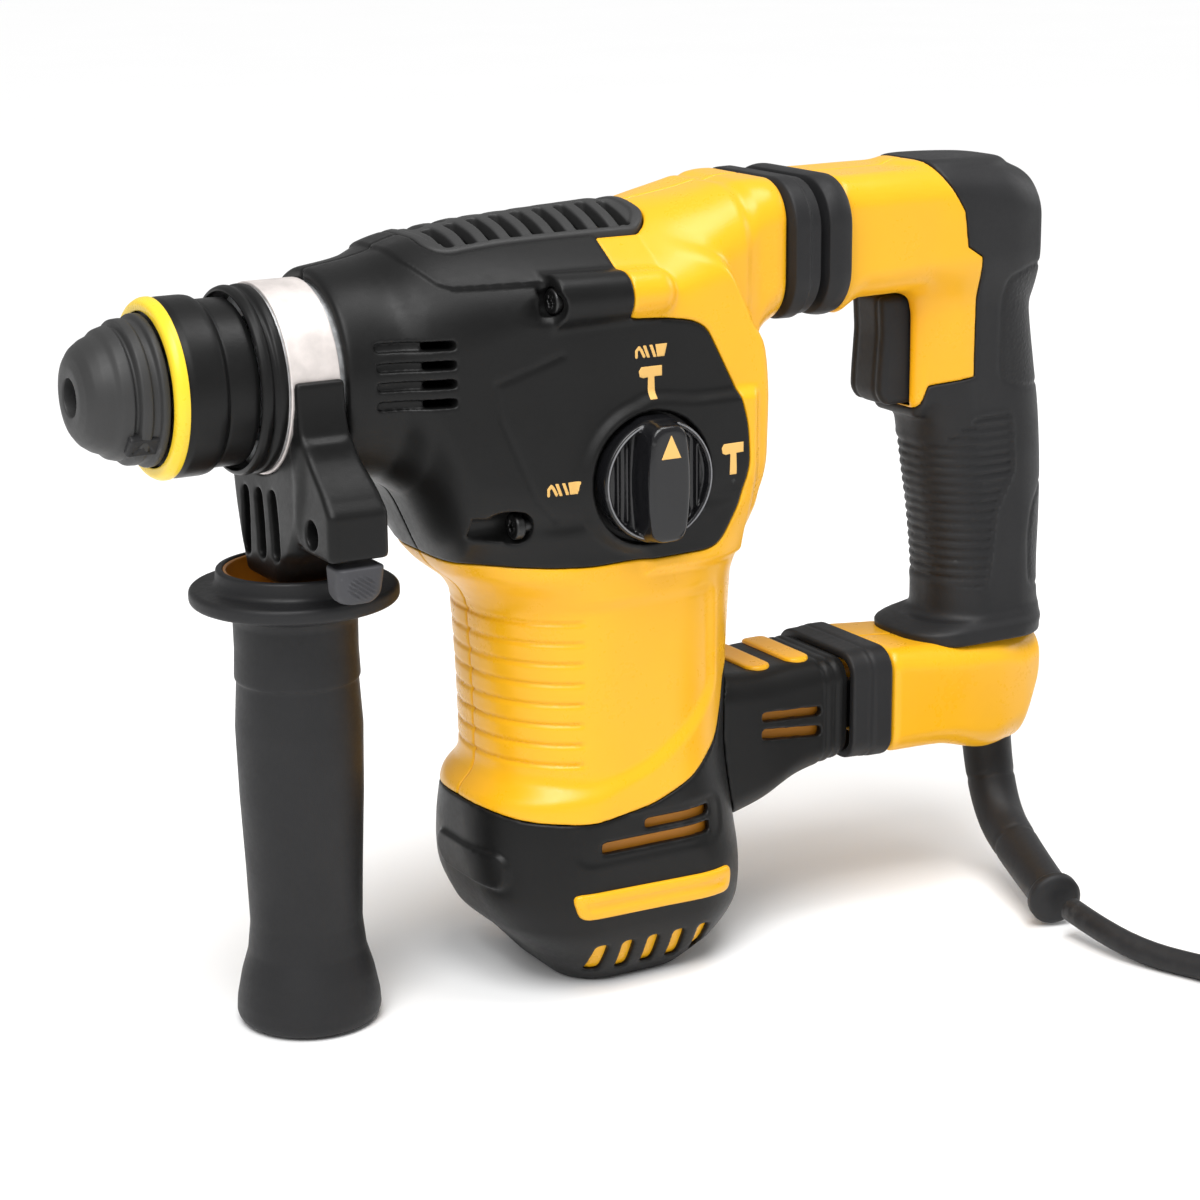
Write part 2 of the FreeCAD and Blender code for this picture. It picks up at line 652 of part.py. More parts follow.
def make_motor():
    """Armature with its pinion, stator, brushes and fan, on the upright motor axis."""
    x = size("motor_axis")
    place = (x, 0, 0)
    bottom, thick = size("gear_bottom"), size("gear_thickness")
    pinion = spur(PINION_TEETH, size("gear_module")).extrude(Vec(0, 0, thick + 3))
    pinion.translate(Vec(x, 0, bottom - 1.5))
    shaft = Part.makeCylinder(size("shaft_radius"), 190.5 + bottom, Vec(x, 0, -192))
    keep(shaped("armature_shaft", shaft.fuse(pinion)))
    core = turned("core_stack", tube_outline(-148, -88, "shaft_radius", "core_radius"), "Z", place)
    windings = [
        turned(f"winding_{name}", [
            (low, "shaft_radius"), (low + 9, "shaft_radius"), (low + 9, 13), (low + 6, 16.5), (low + 3, 16.5), (low, 13),
        ], "Z", place) for name, low in (("upper", -87.8), ("lower", -157.2))
    ]
    keep(group("armature_core", core, *windings))
    keep(turned("commutator", tube_outline(-176, -160, "shaft_radius", 10.5), "Z", place))
    hub = turned("fan_disc", [
        (-77.5, "shaft_radius"), (-69, "shaft_radius"), (-69, 8), (-75.5, 9), (-75.5, "fan_radius"), (-77.5, "fan_radius"),
    ], "Z", place)
    count = 13
    blades = []
    for i in range(count):
        blade = Part.makeBox(17, 1.4, 5.2, Vec(10, -0.7, -75.8))
        blade.rotate(Vec(0, 0, 0), AXES["Z"], i * 360 / count)
        blade.translate(Vec(x, 0, 0))
        blades.append(blade)
    keep(fuse("fan", hub, shaped("fan_blades", blades[0].multiFuse(blades[1:]))))
    keep(turned("stator_core", tube_outline(-148, -90, "stator_bore", "stator_radius"), "Z", place))
    coils = [
        turned(f"field_coil_{name}", [
            (low, 19.5), (low + 7, 19.5), (low + 7, 26), (low + 4, 29), (low + 2, 29), (low, 27),
        ], "Z", place) for name, low in (("upper", -89.8), ("lower", -155.2))
    ]
    keep(group("field_coils", *coils))
    brushes, holders = [], []
    for i, side in enumerate((LEFT, RIGHT)):
        near, far = sorted((side * 10.7, side * 20))
        brushes.append(block(f"brush_{i}", (x - 3, near, -172), (x + 3, far, -164)))
        near, far = sorted((side * 13, side * 31))
        outer = block(f"holder_blank_{i}", (x - 5, near, -174), (x + 5, far, -162))
        inner = block(f"holder_space_{i}", (x - 3.05, -28, -172.05), (x + 3.05, 28, -163.95))
        holders.append(cut(f"holder_{i}", outer, inner))
    keep(group("carbon_brushes", *brushes))
    keep(group("brush_holders", *holders))


# ---------------------------------------------------------------- knob and side handle

def make_knob():
    """The mode knob on the left of the gear housing, with its retaining flange inside."""
    at = (size("motor_axis"), -33.6, size("knob_height"))
    disc = turned("knob_disc", [
        (0, 0), (0, 9), (1.4, 9), (1.4, 7), (7.9, 7), (7.9, "knob_radius"), (12.3, "knob_radius"), (13.3, 18.6),
        (13.3, 0),
    ], "Y", at)
    disc.Placement = FreeCAD.Placement(Vec(*at), FreeCAD.Rotation(AXES["X"], Vec(0, -1, 0)))
    x, z = at[0], at[2]
    bar = block("knob_bar", (x - 6.5, -53, z - 18), (x + 6.5, -46, z + 18))
    keep(fuse("mode_knob", disc, bar))


ROD_HOLE = (-36, -39.3)


def make_side_handle():
    """Band, clamp block with its depth-rod hole, release tab, bolt and hand grip."""
    x, front, width = size("grip_axis"), size("band_front"), size("band_width")
    band_r = size("band_radius")
    ring = Part.makeCylinder(band_r, width - 0.6, Vec(front + 0.3, 0, 0), AXES["X"])
    ring = ring.cut(Part.makeCylinder(size("collar_radius") + 0.08, width, Vec(front, 0, 0), AXES["X"]))
    keep(shaped("clamp_band", ring))
    saddle = box((52, -32, -48), (67, 21, -16)).fuse(box((52, -26, -56), (67, 18, -47)))
    foot = Part.makeCone(19.4, 15, 14, Vec(x, 0, -60)).common(box((x - 19.4, -19.4, -60), (67, 19.4, -46)))
    rod_block = box((52, -49, -45.4), (71, -28, -29))
    hollow = Part.makeCylinder(band_r + 0.05, 40, Vec(40, 0, 0), AXES["X"])
    rod_hole = Part.makeCylinder(4.1, 60, Vec(40, *ROD_HOLE), AXES["X"])
    bolt_hole = Part.makeCylinder(size("bolt_radius"), 60, Vec(x, 0, -80))
    block_shape = saddle.fuse([foot, rod_block]).cut(hollow).cut(rod_hole).cut(bolt_hole)
    keep(shaped("clamp_block", block_shape.removeSplitter()))
    keep(block("depth_release", (54, -51, -57.5), (69.5, -38, -47)))
    keep(turned("clamp_bolt", [(-118, 0), (-118, "bolt_radius"), (-29, "bolt_radius"), (-29, 0)], "Z", (x, 0, 0)))
    low = -size("stand_height")
    grip_bore = size("bolt_radius") + 0.08
    keep(turned("side_grip", [
        (-120, 0), (-120, grip_bore), (-69, grip_bore), (-69, 20.2), (-56.5, 20.2), (-56.5, "cup_radius"),
        (-62, "cup_radius"), (-62.5, "flange_radius"), (-67.5, "flange_radius"), (-71, "grip_radius"),
        (-84, "grip_radius"), (-106, 19.3), (-128, 18.8), (-150, 17.8), (-168, 17.2), (-177, 18.2), (-184, 20.4),
        (-196, 22.2), (low, 20), (low, 0),
    ], "Z", (x, 0, 0)))


# ---------------------------------------------------------------- rear handle

ARM = [
    (241.5, 0, 25, 24, 22, 10),
    (252, 0, 27.5, 24, 19.5, 10),
    (285, 0, 27.7, 22.5, 19.8, 11),
    (306, 0, 26.5, 20.5, 20.5, 13),
    (322, 0, 24, 18, 19.5, 15),
]
GRIP = [
    (-109, 313.6, 0, 22.4, 18, 16),
    (-93, 313, 0, 22.2, 17.5, 16),
    (-71, 312, 0, 23.4, 17.5, 16),
    (-54, 310.4, 0, 24.6, 17.6, 16),
    (-36, 308.2, 0, 25.2, 17.8, 16),
    (-20, 305, 0, 25.8, 18, 16),
    (0, 302, 0, 25.4, 18.8, 16),
    (15, 301, 0, 26, 19, 16),
    (30, 301, 0, 27, 19, 16),
    (40, 301, 0, 25.5, 16.5, 14),
    (46, 300, 0, 20, 12, 11),
]
BASE = [
    (265.5, 0, -126.7, 23.5, 17.8, 7),
    (285, 0, -128, 23.5, 17.5, 8),
    (308, 0, -131, 22, 19.5, 9),
    (320, 0, -131, 20, 19.5, 12),
    (330.5, 0, -122, 16, 10, 9),
]
RUBBER_SIDE = [
    (270, 60), (282, 44), (287, 35), (288, 22), (295, 20), (296, -18), (293, -21.5), (280, -22.5), (276, -29),
    (262, -31), (262, -106.8), (345, -106.8), (345, 60),
]
TRIGGER_SIDE = [
    (266, 4.5), (266.4, -8), (265.7, -25), (270, -31.6), (273, -33), (290, -33), (290, 5.5), (266.4, 5.5),
]
TRIGGER_OPENING = ((246, -10.4, -33.8), (300, 10.4, 6.2))


def make_rear_handle():
    """Two shells, the rubber overmould, the flange plate, trigger and switch."""
    wall = size("wall")
    x, z = size("pivot_along"), size("pivot_height")
    arm, grip, base = form("X", ARM), form("Z", GRIP), form("X", BASE)
    outer = arm.fuse([grip, base]).removeSplitter()
    core = form("X", ARM, 2.5, 2.5).fuse([form("Z", GRIP, 2.5, 2.5)])
    cavity = form("X", ARM, wall, wall).fuse([form("Z", GRIP, 5.5, 5.5), form("X", BASE, wall, wall)])
    opening = box(*TRIGGER_OPENING)
    rubber = outer.cut(core).common(prism(RUBBER_SIDE)).cut(opening)
    lug = box((x, -9, z - 8), (270, 9, z + 8)).fuse(Part.makeCylinder(8, 18, Vec(x, -9, z), AXES["Y"]))
    bore = Part.makeCylinder(size("pivot_radius") + 0.05, 60, Vec(x, -30, z), AXES["Y"])
    boot_hole = Part.makeCylinder(7.5, 14, Vec(*BOOT_ROUTE[0]) - Vec(0, 0, 4))
    shell = outer.cut(cavity).cut(rubber).fuse(lug).cut(bore).cut(opening).cut(boot_hole)
    flange_space = form("Z", FLANGE, 0, 0)
    shell = shell.cut(flange_space)
    for side, name in ((LEFT, "left"), (RIGHT, "right")):
        keep(shaped(f"handle_{name}", shell.common(half_space(side))))
    keep(shaped("grip_overmould", rubber.cut(flange_space)))
    keep(shaped("grip_flange", flange_space.cut(form("Z", GRIP, 5.5, -20))))
    keep(side_pad("trigger", TRIGGER_SIDE, 20))
    keep(block("switch", (299, -8, -26), (317, 8, 4)))


FLANGE = [(-112, 307, 0, 27.5, 21.5, 17), (-107, 307, 0, 25.5, 20, 16)]


def make_joint_seals():
    """Bellows and damper spring between the tool and the rear handle."""
    start, ridges, pitch = 218, 3, 7.7
    stations = []
    for i in range(ridges):
        x = start + i * pitch
        stations.append((x + 0.1, 0, 26.5, 27, 19.5, 13))
        stations.append((x + 2.6, 0, 26.3, 30, 22.3, 15))
        stations.append((x + 5.2, 0, 26.3, 30, 22.3, 15))
    stations.append((241.2, 0, 26.3, 25, 19, 12))
    skin = form("X", stations, 0, 0)
    keep(shaped("bellows", skin.cut(form("X", stations, 3, -1))))
    length, turns, radius = 22.4, 5, 8
    helix = Part.makeHelix(length / turns, length, radius)
    wire = Part.Wire(Part.makeCircle(0.9, Vec(radius, 0, 0), Vec(0, 1, 0)))
    spring = Part.Wire(helix).makePipeShell([wire], True, True)
    spring.Placement = FreeCAD.Placement(Vec(219.2, 0, 26), FreeCAD.Rotation(AXES["Z"], AXES["X"]))
    spring = spring.common(box((218, -20, 0), (241.3, 20, 50)))
    keep(shaped("damper_spring", spring))


# ---------------------------------------------------------------- cord

BOOT_ROUTE = [(319.6, 0, -149.5), (320, -3, -176), (311, -36, -187), (303, -62, -190.5)]
BOOT_RADII = [8.6, 7.9, 7.4, 6.9]
CORD_ROUTE = [
    (303, -69.3, -190.8), (303, -86, -193.2), (308, -104, -196), (316, -122, -196), (321.5, -141, -196),
]
COIL_CENTRE = (379, -143)
TAIL_ROUTE = [(-44, 16, -178), (-43.5, -9, -174), (-32.5, -32, -166), (-12, -46, -158.5), (12, -49, -154)]


def rounded_route(points):
    """Straight runs joined by tangent arcs, each as large as its two runs allow."""
    points = [Vec(*p) for p in points]
    edges, radii = [], []
    last = points[0]
    for before, corner, after in zip(points, points[1:], points[2:]):
        toward, away = (corner - before), (after - corner)
        turn = toward.getAngle(away)
        radius = 0.45 * min(toward.Length, away.Length) / tan(turn / 2)
        radii.append(radius)
        reach = radius * tan(turn / 2)
        toward.normalize()
        away.normalize()
        start, end = corner - toward * reach, corner + away * reach
        inward = (away - toward)
        inward.normalize()
        middle = corner + inward * (radius / cos(turn / 2) - radius)
        edges.append(Part.LineSegment(last, start).toShape())
        edges.append(Part.Arc(start, middle, end).toShape())
        last = end
    edges.append(Part.LineSegment(last, points[-1]).toShape())
    return Part.Wire(edges), radii


def cord_tube(name, points, radius):
    """A round tube along a route, with its length and radii printed."""
    path, radii = rounded_route(points)
    start = Vec(*points[0])
    heading = Vec(*points[1]) - start
    ring = Part.Wire(Part.makeCircle(radius, start, heading))
    tube = path.makePipeShell([ring], True, False)
    expected = pi * radius ** 2 * path.Length
    print(name, "length", round(path.Length, 1), "radii", [round(r) for r in radii],
          "volume ratio", round(tube.Volume / expected, 4))
    return tube


def make_cord():
    """Boot, the free stretch of cord, its put-away coil and the plug."""
    path, radii = rounded_route(BOOT_ROUTE)
    print("boot length", round(path.Length, 1), "radii", [round(r) for r in radii])
    rings = []
    steps = 7
    edge_points = path.discretize(Number=steps)
    for i, at in enumerate(edge_points):
        before, after = edge_points[max(i - 1, 0)], edge_points[min(i + 1, steps - 1)]
        radius = BOOT_RADII[0] + (BOOT_RADII[-1] - BOOT_RADII[0]) * i / (steps - 1)
        if i == 0:
            radius = 6.5
        rings.append(Part.Wire(Part.makeCircle(radius, at, after - before)))
    boot = Part.makeLoft(rings, True, False)
    end = Vec(*CORD_ROUTE[0])
    flange = Part.makeCylinder(8.9, 5.8, end + Vec(0, 0.9, 0), AXES["Y"])
    keep(shaped("cord_boot", boot.fuse(flange)))
    radius = size("cord_radius")
    run = cord_tube("cord", CORD_ROUTE, radius)
    cx, cy = COIL_CENTRE
    tail = cord_tube("tail", [(cx + x, cy + y, z) for x, y, z in TAIL_ROUTE], radius)
    keep(shaped("cord", Part.makeCompound([run, tail])))
    middle = size("coil_middle_radius")
    half, floor = 16.5, -size("stand_height")
    keep(turned("cord_coil", [
        (floor, middle - half + 4), (floor + 4, middle - half), (floor + 25, middle - half),
        (floor + 29, middle - half + 4), (floor + 29, middle + half - 4), (floor + 25, middle + half),
        (floor + 4, middle + half), (floor, middle + half - 4),
    ], "Z", (cx, cy, 0)))
    make_plug(Vec(cx, cy, 0))


def make_plug(centre):
    """A two-pin mains plug lying on the coil."""
    start = Vec(*TAIL_ROUTE[-1]) + centre
    heading = Vec(*TAIL_ROUTE[-1]) - Vec(*TAIL_ROUTE[-2])
    heading.z = 0
    heading.normalize()
    outline = [(0, 0), (0, 5.5), (16, 8), (20, 14), (27, 17.6), (48, 17.6), (50, 16), (50, 0)]
    points = [Vec(a, r, 0) for a, r in outline]
    body = Part.Face(Part.makePolygon(points + points[:1])).revolve(Vec(0, 0, 0), AXES["X"], 360)
    pins = [Part.makeCylinder(2.4, 19, Vec(50, y, 0), AXES["X"]) for y in (-9.5, 9.5)]
    plug = Part.makeCompound([body] + pins)
    plug.Placement = FreeCAD.Placement(start, FreeCAD.Rotation(AXES["X"], heading))
    keep(shaped("plug", plug))


# ---------------------------------------------------------------- build, check and write

make_casing()
make_nose()
make_gears()
make_hammer_works()
make_gear_case()
make_motor()
make_knob()
make_side_handle()
make_rear_handle()
make_joint_seals()
make_cord()
doc.recompute()

for thing in doc.Objects:
    if {"Invalid", "Error"} & set(thing.State):
        raise RuntimeError(f"{thing.Label} failed: {thing.State}")
labels = [thing.Label for thing in NODES]
if len(set(labels)) != len(labels):
    raise RuntimeError("two sub-parts share a label")
for thing in NODES:
    if thing.Shape.isNull() or not thing.Shape.isValid() or thing.Shape.Volume <= 0:
        raise RuntimeError(f"{thing.Label} has no valid solid")

os.makedirs("parts", exist_ok=True)
for thing in NODES:
    thing.Shape.exportStep(f"parts/{thing.Label}.step")
print(len(NODES), "sub-parts,", sum(len(thing.Shape.Solids) for thing in NODES), "solids")
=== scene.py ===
import itertools
import json
import math

import bmesh
import bpy
import numpy as np
from mathutils import Matrix, Vector

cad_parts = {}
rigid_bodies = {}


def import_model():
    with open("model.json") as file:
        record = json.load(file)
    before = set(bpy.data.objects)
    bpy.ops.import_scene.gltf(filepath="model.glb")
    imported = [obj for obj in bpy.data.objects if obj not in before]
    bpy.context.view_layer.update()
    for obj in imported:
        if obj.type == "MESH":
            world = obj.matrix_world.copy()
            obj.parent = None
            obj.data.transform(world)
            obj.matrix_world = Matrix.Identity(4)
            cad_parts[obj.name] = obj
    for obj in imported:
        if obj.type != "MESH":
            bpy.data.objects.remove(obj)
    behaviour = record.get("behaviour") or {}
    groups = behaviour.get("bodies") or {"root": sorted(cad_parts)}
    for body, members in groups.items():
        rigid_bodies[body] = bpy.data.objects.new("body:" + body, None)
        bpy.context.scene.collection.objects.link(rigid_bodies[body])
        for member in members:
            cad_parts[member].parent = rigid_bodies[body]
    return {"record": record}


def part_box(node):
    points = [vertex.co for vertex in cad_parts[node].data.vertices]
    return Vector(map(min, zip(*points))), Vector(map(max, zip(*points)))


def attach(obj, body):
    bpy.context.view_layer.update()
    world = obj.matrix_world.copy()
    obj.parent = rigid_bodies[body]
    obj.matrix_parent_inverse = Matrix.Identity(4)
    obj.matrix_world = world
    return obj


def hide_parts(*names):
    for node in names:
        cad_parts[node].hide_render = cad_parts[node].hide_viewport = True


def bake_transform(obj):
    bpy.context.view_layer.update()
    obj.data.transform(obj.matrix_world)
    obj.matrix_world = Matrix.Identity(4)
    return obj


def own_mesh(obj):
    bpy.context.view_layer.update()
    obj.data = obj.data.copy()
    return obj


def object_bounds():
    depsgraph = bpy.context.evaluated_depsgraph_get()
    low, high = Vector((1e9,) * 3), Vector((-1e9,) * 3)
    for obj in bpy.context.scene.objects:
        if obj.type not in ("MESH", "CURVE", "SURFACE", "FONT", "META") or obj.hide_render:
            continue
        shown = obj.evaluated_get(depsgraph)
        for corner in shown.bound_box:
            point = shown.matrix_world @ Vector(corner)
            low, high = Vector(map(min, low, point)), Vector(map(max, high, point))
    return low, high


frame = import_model()
CAD_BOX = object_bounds()

# Shapes are worked out in millimetres, in the frame's own axes, and made in metres.
MM = 0.001
SIDES = (-1, 1)


def middle_mm(node, axis):
    """The middle of a CAD node along one axis, in millimetres."""
    low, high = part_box(node)
    return (low[axis] + high[axis]) / 2 / MM


FLOOR = CAD_BOX[0][2] / MM
MOTOR = middle_mm("commutator", 0)
GRIP_AXIS = middle_mm("side_grip", 0)
KNOB_HEIGHT = middle_mm("mode_knob", 2)


# ---------------------------------------------------------------- camera, light and floor

def make_camera():
    """A long lens at the front left of the tool, a little above it."""
    azimuth, elevation, roll = (math.radians(a) for a in (-29.75, 15.15, -0.49))
    target = Vector((0.1661, 0, -0.0825))
    distance = 0.902
    back = Vector((
        math.sin(azimuth) * math.cos(elevation), -math.cos(azimuth) * math.cos(elevation), math.sin(elevation)
    ))
    right = Vector((math.cos(azimuth), math.sin(azimuth), 0))
    up = back.cross(right)
    rolled_right = right * math.cos(roll) + up * math.sin(roll)
    rolled_up = up * math.cos(roll) - right * math.sin(roll)
    data = bpy.data.cameras.new("camera")
    data.sensor_width = 36
    data.lens = 85.95
    camera = bpy.data.objects.new("camera", data)
    bpy.context.scene.collection.objects.link(camera)
    turn = Matrix((rolled_right, rolled_up, back)).transposed().to_4x4()
    camera.matrix_world = Matrix.Translation(target + back * distance) @ turn
    bpy.context.scene.camera = camera


def make_lights():
    """Soft studio light: an even sky, a wide sun and three large soft boxes."""
    world = bpy.data.worlds.new("studio")
    bpy.context.scene.world = world
    world.use_nodes = True
    sky = world.node_tree.nodes["Background"]
    sky.inputs["Color"].default_value = (1, 1, 1, 1)
    sky.inputs["Strength"].default_value = 0.45
    bpy.context.scene.view_settings.view_transform = "Standard"
    middle = Vector([(a + b) / 2 for a, b in zip(*CAD_BOX)])
    lamps = [
        ("sun", "SUN", (-0.5, -0.7, 1.6), 2.1, 0.6),
        ("key_box", "AREA", (-1.0, -0.6, 0.95), 6, 0.6),
        ("top_box", "AREA", (0.25, -0.1, 1.15), 5, 0.5),
        ("right_box", "AREA", (1.2, 0.1, 0.5), 2.5, 0.5),
    ]
    for name, kind, offset, power, width in lamps:
        data = bpy.data.lights.new(name, kind)
        data.energy = power
        if kind == "SUN":
            data.angle = width
        else:
            data.size = width
        lamp = bpy.data.objects.new(name, data)
        bpy.context.scene.collection.objects.link(lamp)
        lamp.location = middle + Vector(offset)
        lamp.rotation_euler = Vector(offset).to_track_quat("Z", "Y").to_euler()


# ---------------------------------------------------------------- materials

class Nodes:
    """Adds shader nodes to one material."""

    def __init__(self, name):
        self.material = bpy.data.materials.new(name)
        self.material.use_nodes = True
        self.tree = self.material.node_tree
        self.shader = self.tree.nodes["Principled BSDF"]
        self.place = self.add("ShaderNodeTexCoord").outputs["Object"]

    def add(self, kind, inputs=None, **settings):
        node = self.tree.nodes.new(kind)
        for key, value in settings.items():
            setattr(node, key, value)
        for key, value in (inputs or {}).items():
            if isinstance(value, bpy.types.NodeSocket):
                self.tree.links.new(value, node.inputs[key])
            else:
                node.inputs[key].default_value = value
        return node

    def noise(self, size, detail=3.0, roughness=0.55, stretch=(1, 1, 1)):
        """Noise whose grains are about size millimetres across."""
        mapped = self.add("ShaderNodeMapping", {"Vector": self.place, "Scale": stretch})
        inputs = {"Vector": mapped.outputs["Vector"], "Scale": 1 / (size * MM), "Detail": detail,
                  "Roughness": roughness}
        return self.add("ShaderNodeTexNoise", inputs).outputs["Fac"]

    def cells(self, size):
        """Small round grains, as on leather-grained rubber."""
        inputs = {"Vector": self.place, "Scale": 1 / (size * MM), "Smoothness": 0.6}
        return self.add("ShaderNodeTexVoronoi", inputs, feature="SMOOTH_F1").outputs["Distance"]

    def span(self, value, low, high, start=0.0, end=1.0):
        """Maps a value from low..high to start..end."""
        inputs = {"Value": value, "From Min": low, "From Max": high, "To Min": start, "To Max": end}
        return self.add("ShaderNodeMapRange", inputs).outputs["Result"]

    def sum(self, *values):
        total = values[0]
        for value in values[1:]:
            total = self.add("ShaderNodeMath", {0: total, 1: value}, operation="ADD").outputs["Value"]
        return total

    def times(self, a, b):
        return self.add("ShaderNodeMath", {0: a, 1: b}, operation="MULTIPLY").outputs["Value"]

    def blend(self, factor, first, second):
        """Mixes two colours by a factor."""
        node = self.add("ShaderNodeMix", data_type="RGBA")
        for key, value in (("Factor", factor), (6, first), (7, second)):
            if isinstance(value, bpy.types.NodeSocket):
                self.tree.links.new(value, node.inputs[key])
            else:
                node.inputs[key].default_value = value
        return node.outputs[2]

    def link(self, value, socket):
        self.tree.links.new(value, self.shader.inputs[socket])

    def relief(self, height, depth, strength=0.5):
        """Bumps the surface by a height of up to depth millimetres."""
        inputs = {"Height": height, "Distance": depth * MM, "Strength": strength}
        self.link(self.add("ShaderNodeBump", inputs).outputs["Normal"], "Normal")


def rgba(colour, factor=1.0):
    """An opaque colour, made lighter or darker by a factor."""
    return tuple(min(1.0, c * factor) for c in colour) + (1.0,)


def worn_edges(nodes):
    """1 along convex edges, broken up by noise, and 0 elsewhere."""
    edge = nodes.span(nodes.add("ShaderNodeNewGeometry").outputs["Pointiness"], 0.53, 0.62)
    return nodes.times(edge, nodes.span(nodes.noise(4), 0.45, 0.62))


def moulded(name, colour, shine, grain=0.5, depth=0.05, wear=0.25, mottle=0.08, gloss=0.3):
    """Moulded plastic or rubber: fine grain, faint mottling, handling smears and rubbed edges."""
    nodes = Nodes(name)
    nodes.shader.inputs["Specular IOR Level"].default_value = gloss
    patches = nodes.span(nodes.noise(38, 4), 0.3, 0.7)
    base = nodes.blend(patches, rgba(colour, 1 - mottle), rgba(colour, 1 + mottle))
    rubbed = tuple(c + (0.5 - c) * 0.2 for c in colour)
    base = nodes.blend(nodes.times(worn_edges(nodes), wear), base, rgba(rubbed))
    nodes.link(base, "Base Color")
    smears = nodes.sum(
        nodes.span(nodes.noise(15, 5), 0.3, 0.7, shine - 0.05, shine + 0.05),
        nodes.span(nodes.noise(1.6, 2), 0.35, 0.65, -0.02, 0.03),
    )
    nodes.link(smears, "Roughness")
    zone = nodes.add("ShaderNodeAttribute", attribute_name="grain_zone").outputs["Fac"]
    pebbles = nodes.times(zone, nodes.span(nodes.cells(1.3), 0.1, 0.6, 1, 0))
    height = nodes.sum(nodes.times(nodes.noise(grain, 2), 0.35), pebbles)
    nodes.relief(height, depth + 0.12, 0.45)
    return nodes.material


def metal(name, colour, shine, stretch=(1, 1, 1), size=0.6, depth=0.02, metallic=1.0):
    """Steel, alloy or copper with fine tool marks, drawn out along one axis by stretch."""
    nodes = Nodes(name)
    marks = nodes.noise(size, 3, 0.6, stretch)
    stain = nodes.span(nodes.noise(9, 4), 0.35, 0.7)
    base = nodes.blend(stain, rgba(colour, 1.06), rgba(colour, 0.8))
    nodes.link(nodes.blend(nodes.times(worn_edges(nodes), 0.5), base, rgba(colour, 1.5)), "Base Color")
    nodes.shader.inputs["Metallic"].default_value = metallic
    nodes.link(nodes.span(marks, 0.3, 0.7, shine - 0.07, shine + 0.09), "Roughness")
    nodes.relief(marks, depth, 0.4)
    return nodes.material


def floor_paint():
    """Matt white paint with faint broad patches."""
    nodes = Nodes("floor_paint")
    tint = nodes.blend(nodes.noise(240, 2), rgba((0.96, 0.96, 0.96)), rgba((0.98, 0.98, 0.98)))
    nodes.link(tint, "Base Color")
    nodes.shader.inputs["Roughness"].default_value = 0.9
    nodes.shader.inputs["Specular IOR Level"].default_value = 0.1
    return nodes.material


# Colour, roughness, and then what moulded() and metal() take after them.
PLASTICS = {
    "black_plastic": ((0.006, 0.006, 0.006), 0.4, 0.45, 0.05, 0.3, 0.08, 0.22),
    "yellow_plastic": ((0.88, 0.44, 0.01), 0.3, 0.6, 0.02, 0.03, 0.02, 0.4),
    "soft_black": ((0.013, 0.013, 0.014), 0.52, 0.35, 0.09, 0.25),
    "carbon": ((0.05, 0.05, 0.055), 0.5, 0.6, 0.05),
    # amber_plastic also lines the vents of the motor cap and the bridge, where it is painted shade on the
    # yellow inside.
    "amber_plastic": ((0.55, 0.21, 0.015), 0.4, 0.6, 0.02, 0.1),
    "grey_plastic": ((0.2, 0.2, 0.21), 0.45, 0.5, 0.04),
    # A lighter copy of the yellow plastic, used as a painted highlight on the front-facing yellow ring.
    "highlit_yellow_plastic": ((0.9, 0.62, 0.03), 0.3, 0.6, 0.02, 0.03, 0.02, 0.4),
    "grey_rubber": ((0.03, 0.03, 0.03), 0.5, 0.35, 0.06, 0.25, 0.08, 0.35),
    "gloss_black": ((0.007, 0.007, 0.008), 0.2, 0.8, 0.012, 0.3, 0.08, 0.45),
    "pale_mark": ((0.78, 0.47, 0.14), 0.45, 0.5, 0.01, 0.1),
}
METALS = {
    "bright_steel": ((0.62, 0.57, 0.54), 0.5, (1, 0.1, 0.1), 0.5),
    "hard_steel": ((0.42, 0.43, 0.45), 0.34, (0.2, 1, 1), 0.5),
    "cast_alloy": ((0.6, 0.61, 0.62), 0.5, (1, 1, 1), 1.2, 0.1),
    "black_oxide": ((0.06, 0.06, 0.06), 0.42, (0.2, 1, 1), 0.5),
    "satin_band": ((0.78, 0.72, 0.69), 0.5, (1, 0.1, 0.1), 0.5, 0.02, 0.45),
    "copper": ((0.72, 0.36, 0.18), 0.35, (1, 1, 0.15), 0.8, 0.2),
}


def make_materials():
    """One finish for each of the record's material slots, and a few closer ones."""
    finishes = {name: moulded(name, *values) for name, values in PLASTICS.items()}
    finishes.update({name: metal(name, *values) for name, values in METALS.items()})
    return finishes


# ---------------------------------------------------------------- fields
# A field gives the distance in millimetres from a surface, negative inside it.

def smooth_max(a, b, blend):
    """The larger of two fields, rounded over a blend where they meet."""
    reach = np.maximum(blend - np.abs(a - b), 0)
    return np.maximum(a, b) + reach * reach / (4 * blend)


def smooth_min(a, b, blend):
    """The smaller of two fields, rounded over a blend where they meet."""
    return -smooth_max(-a, -b, blend)


def ramp(value, width):
    """1 well inside a field, 0 well outside it, and a smooth change over the width."""
    t = np.clip(0.5 - value / width, 0, 1)
    return t * t * (3 - 2 * t)


def groove(distance, width):
    """A soft notch, 1 at its middle."""
    return np.exp(-(distance / width) ** 2)


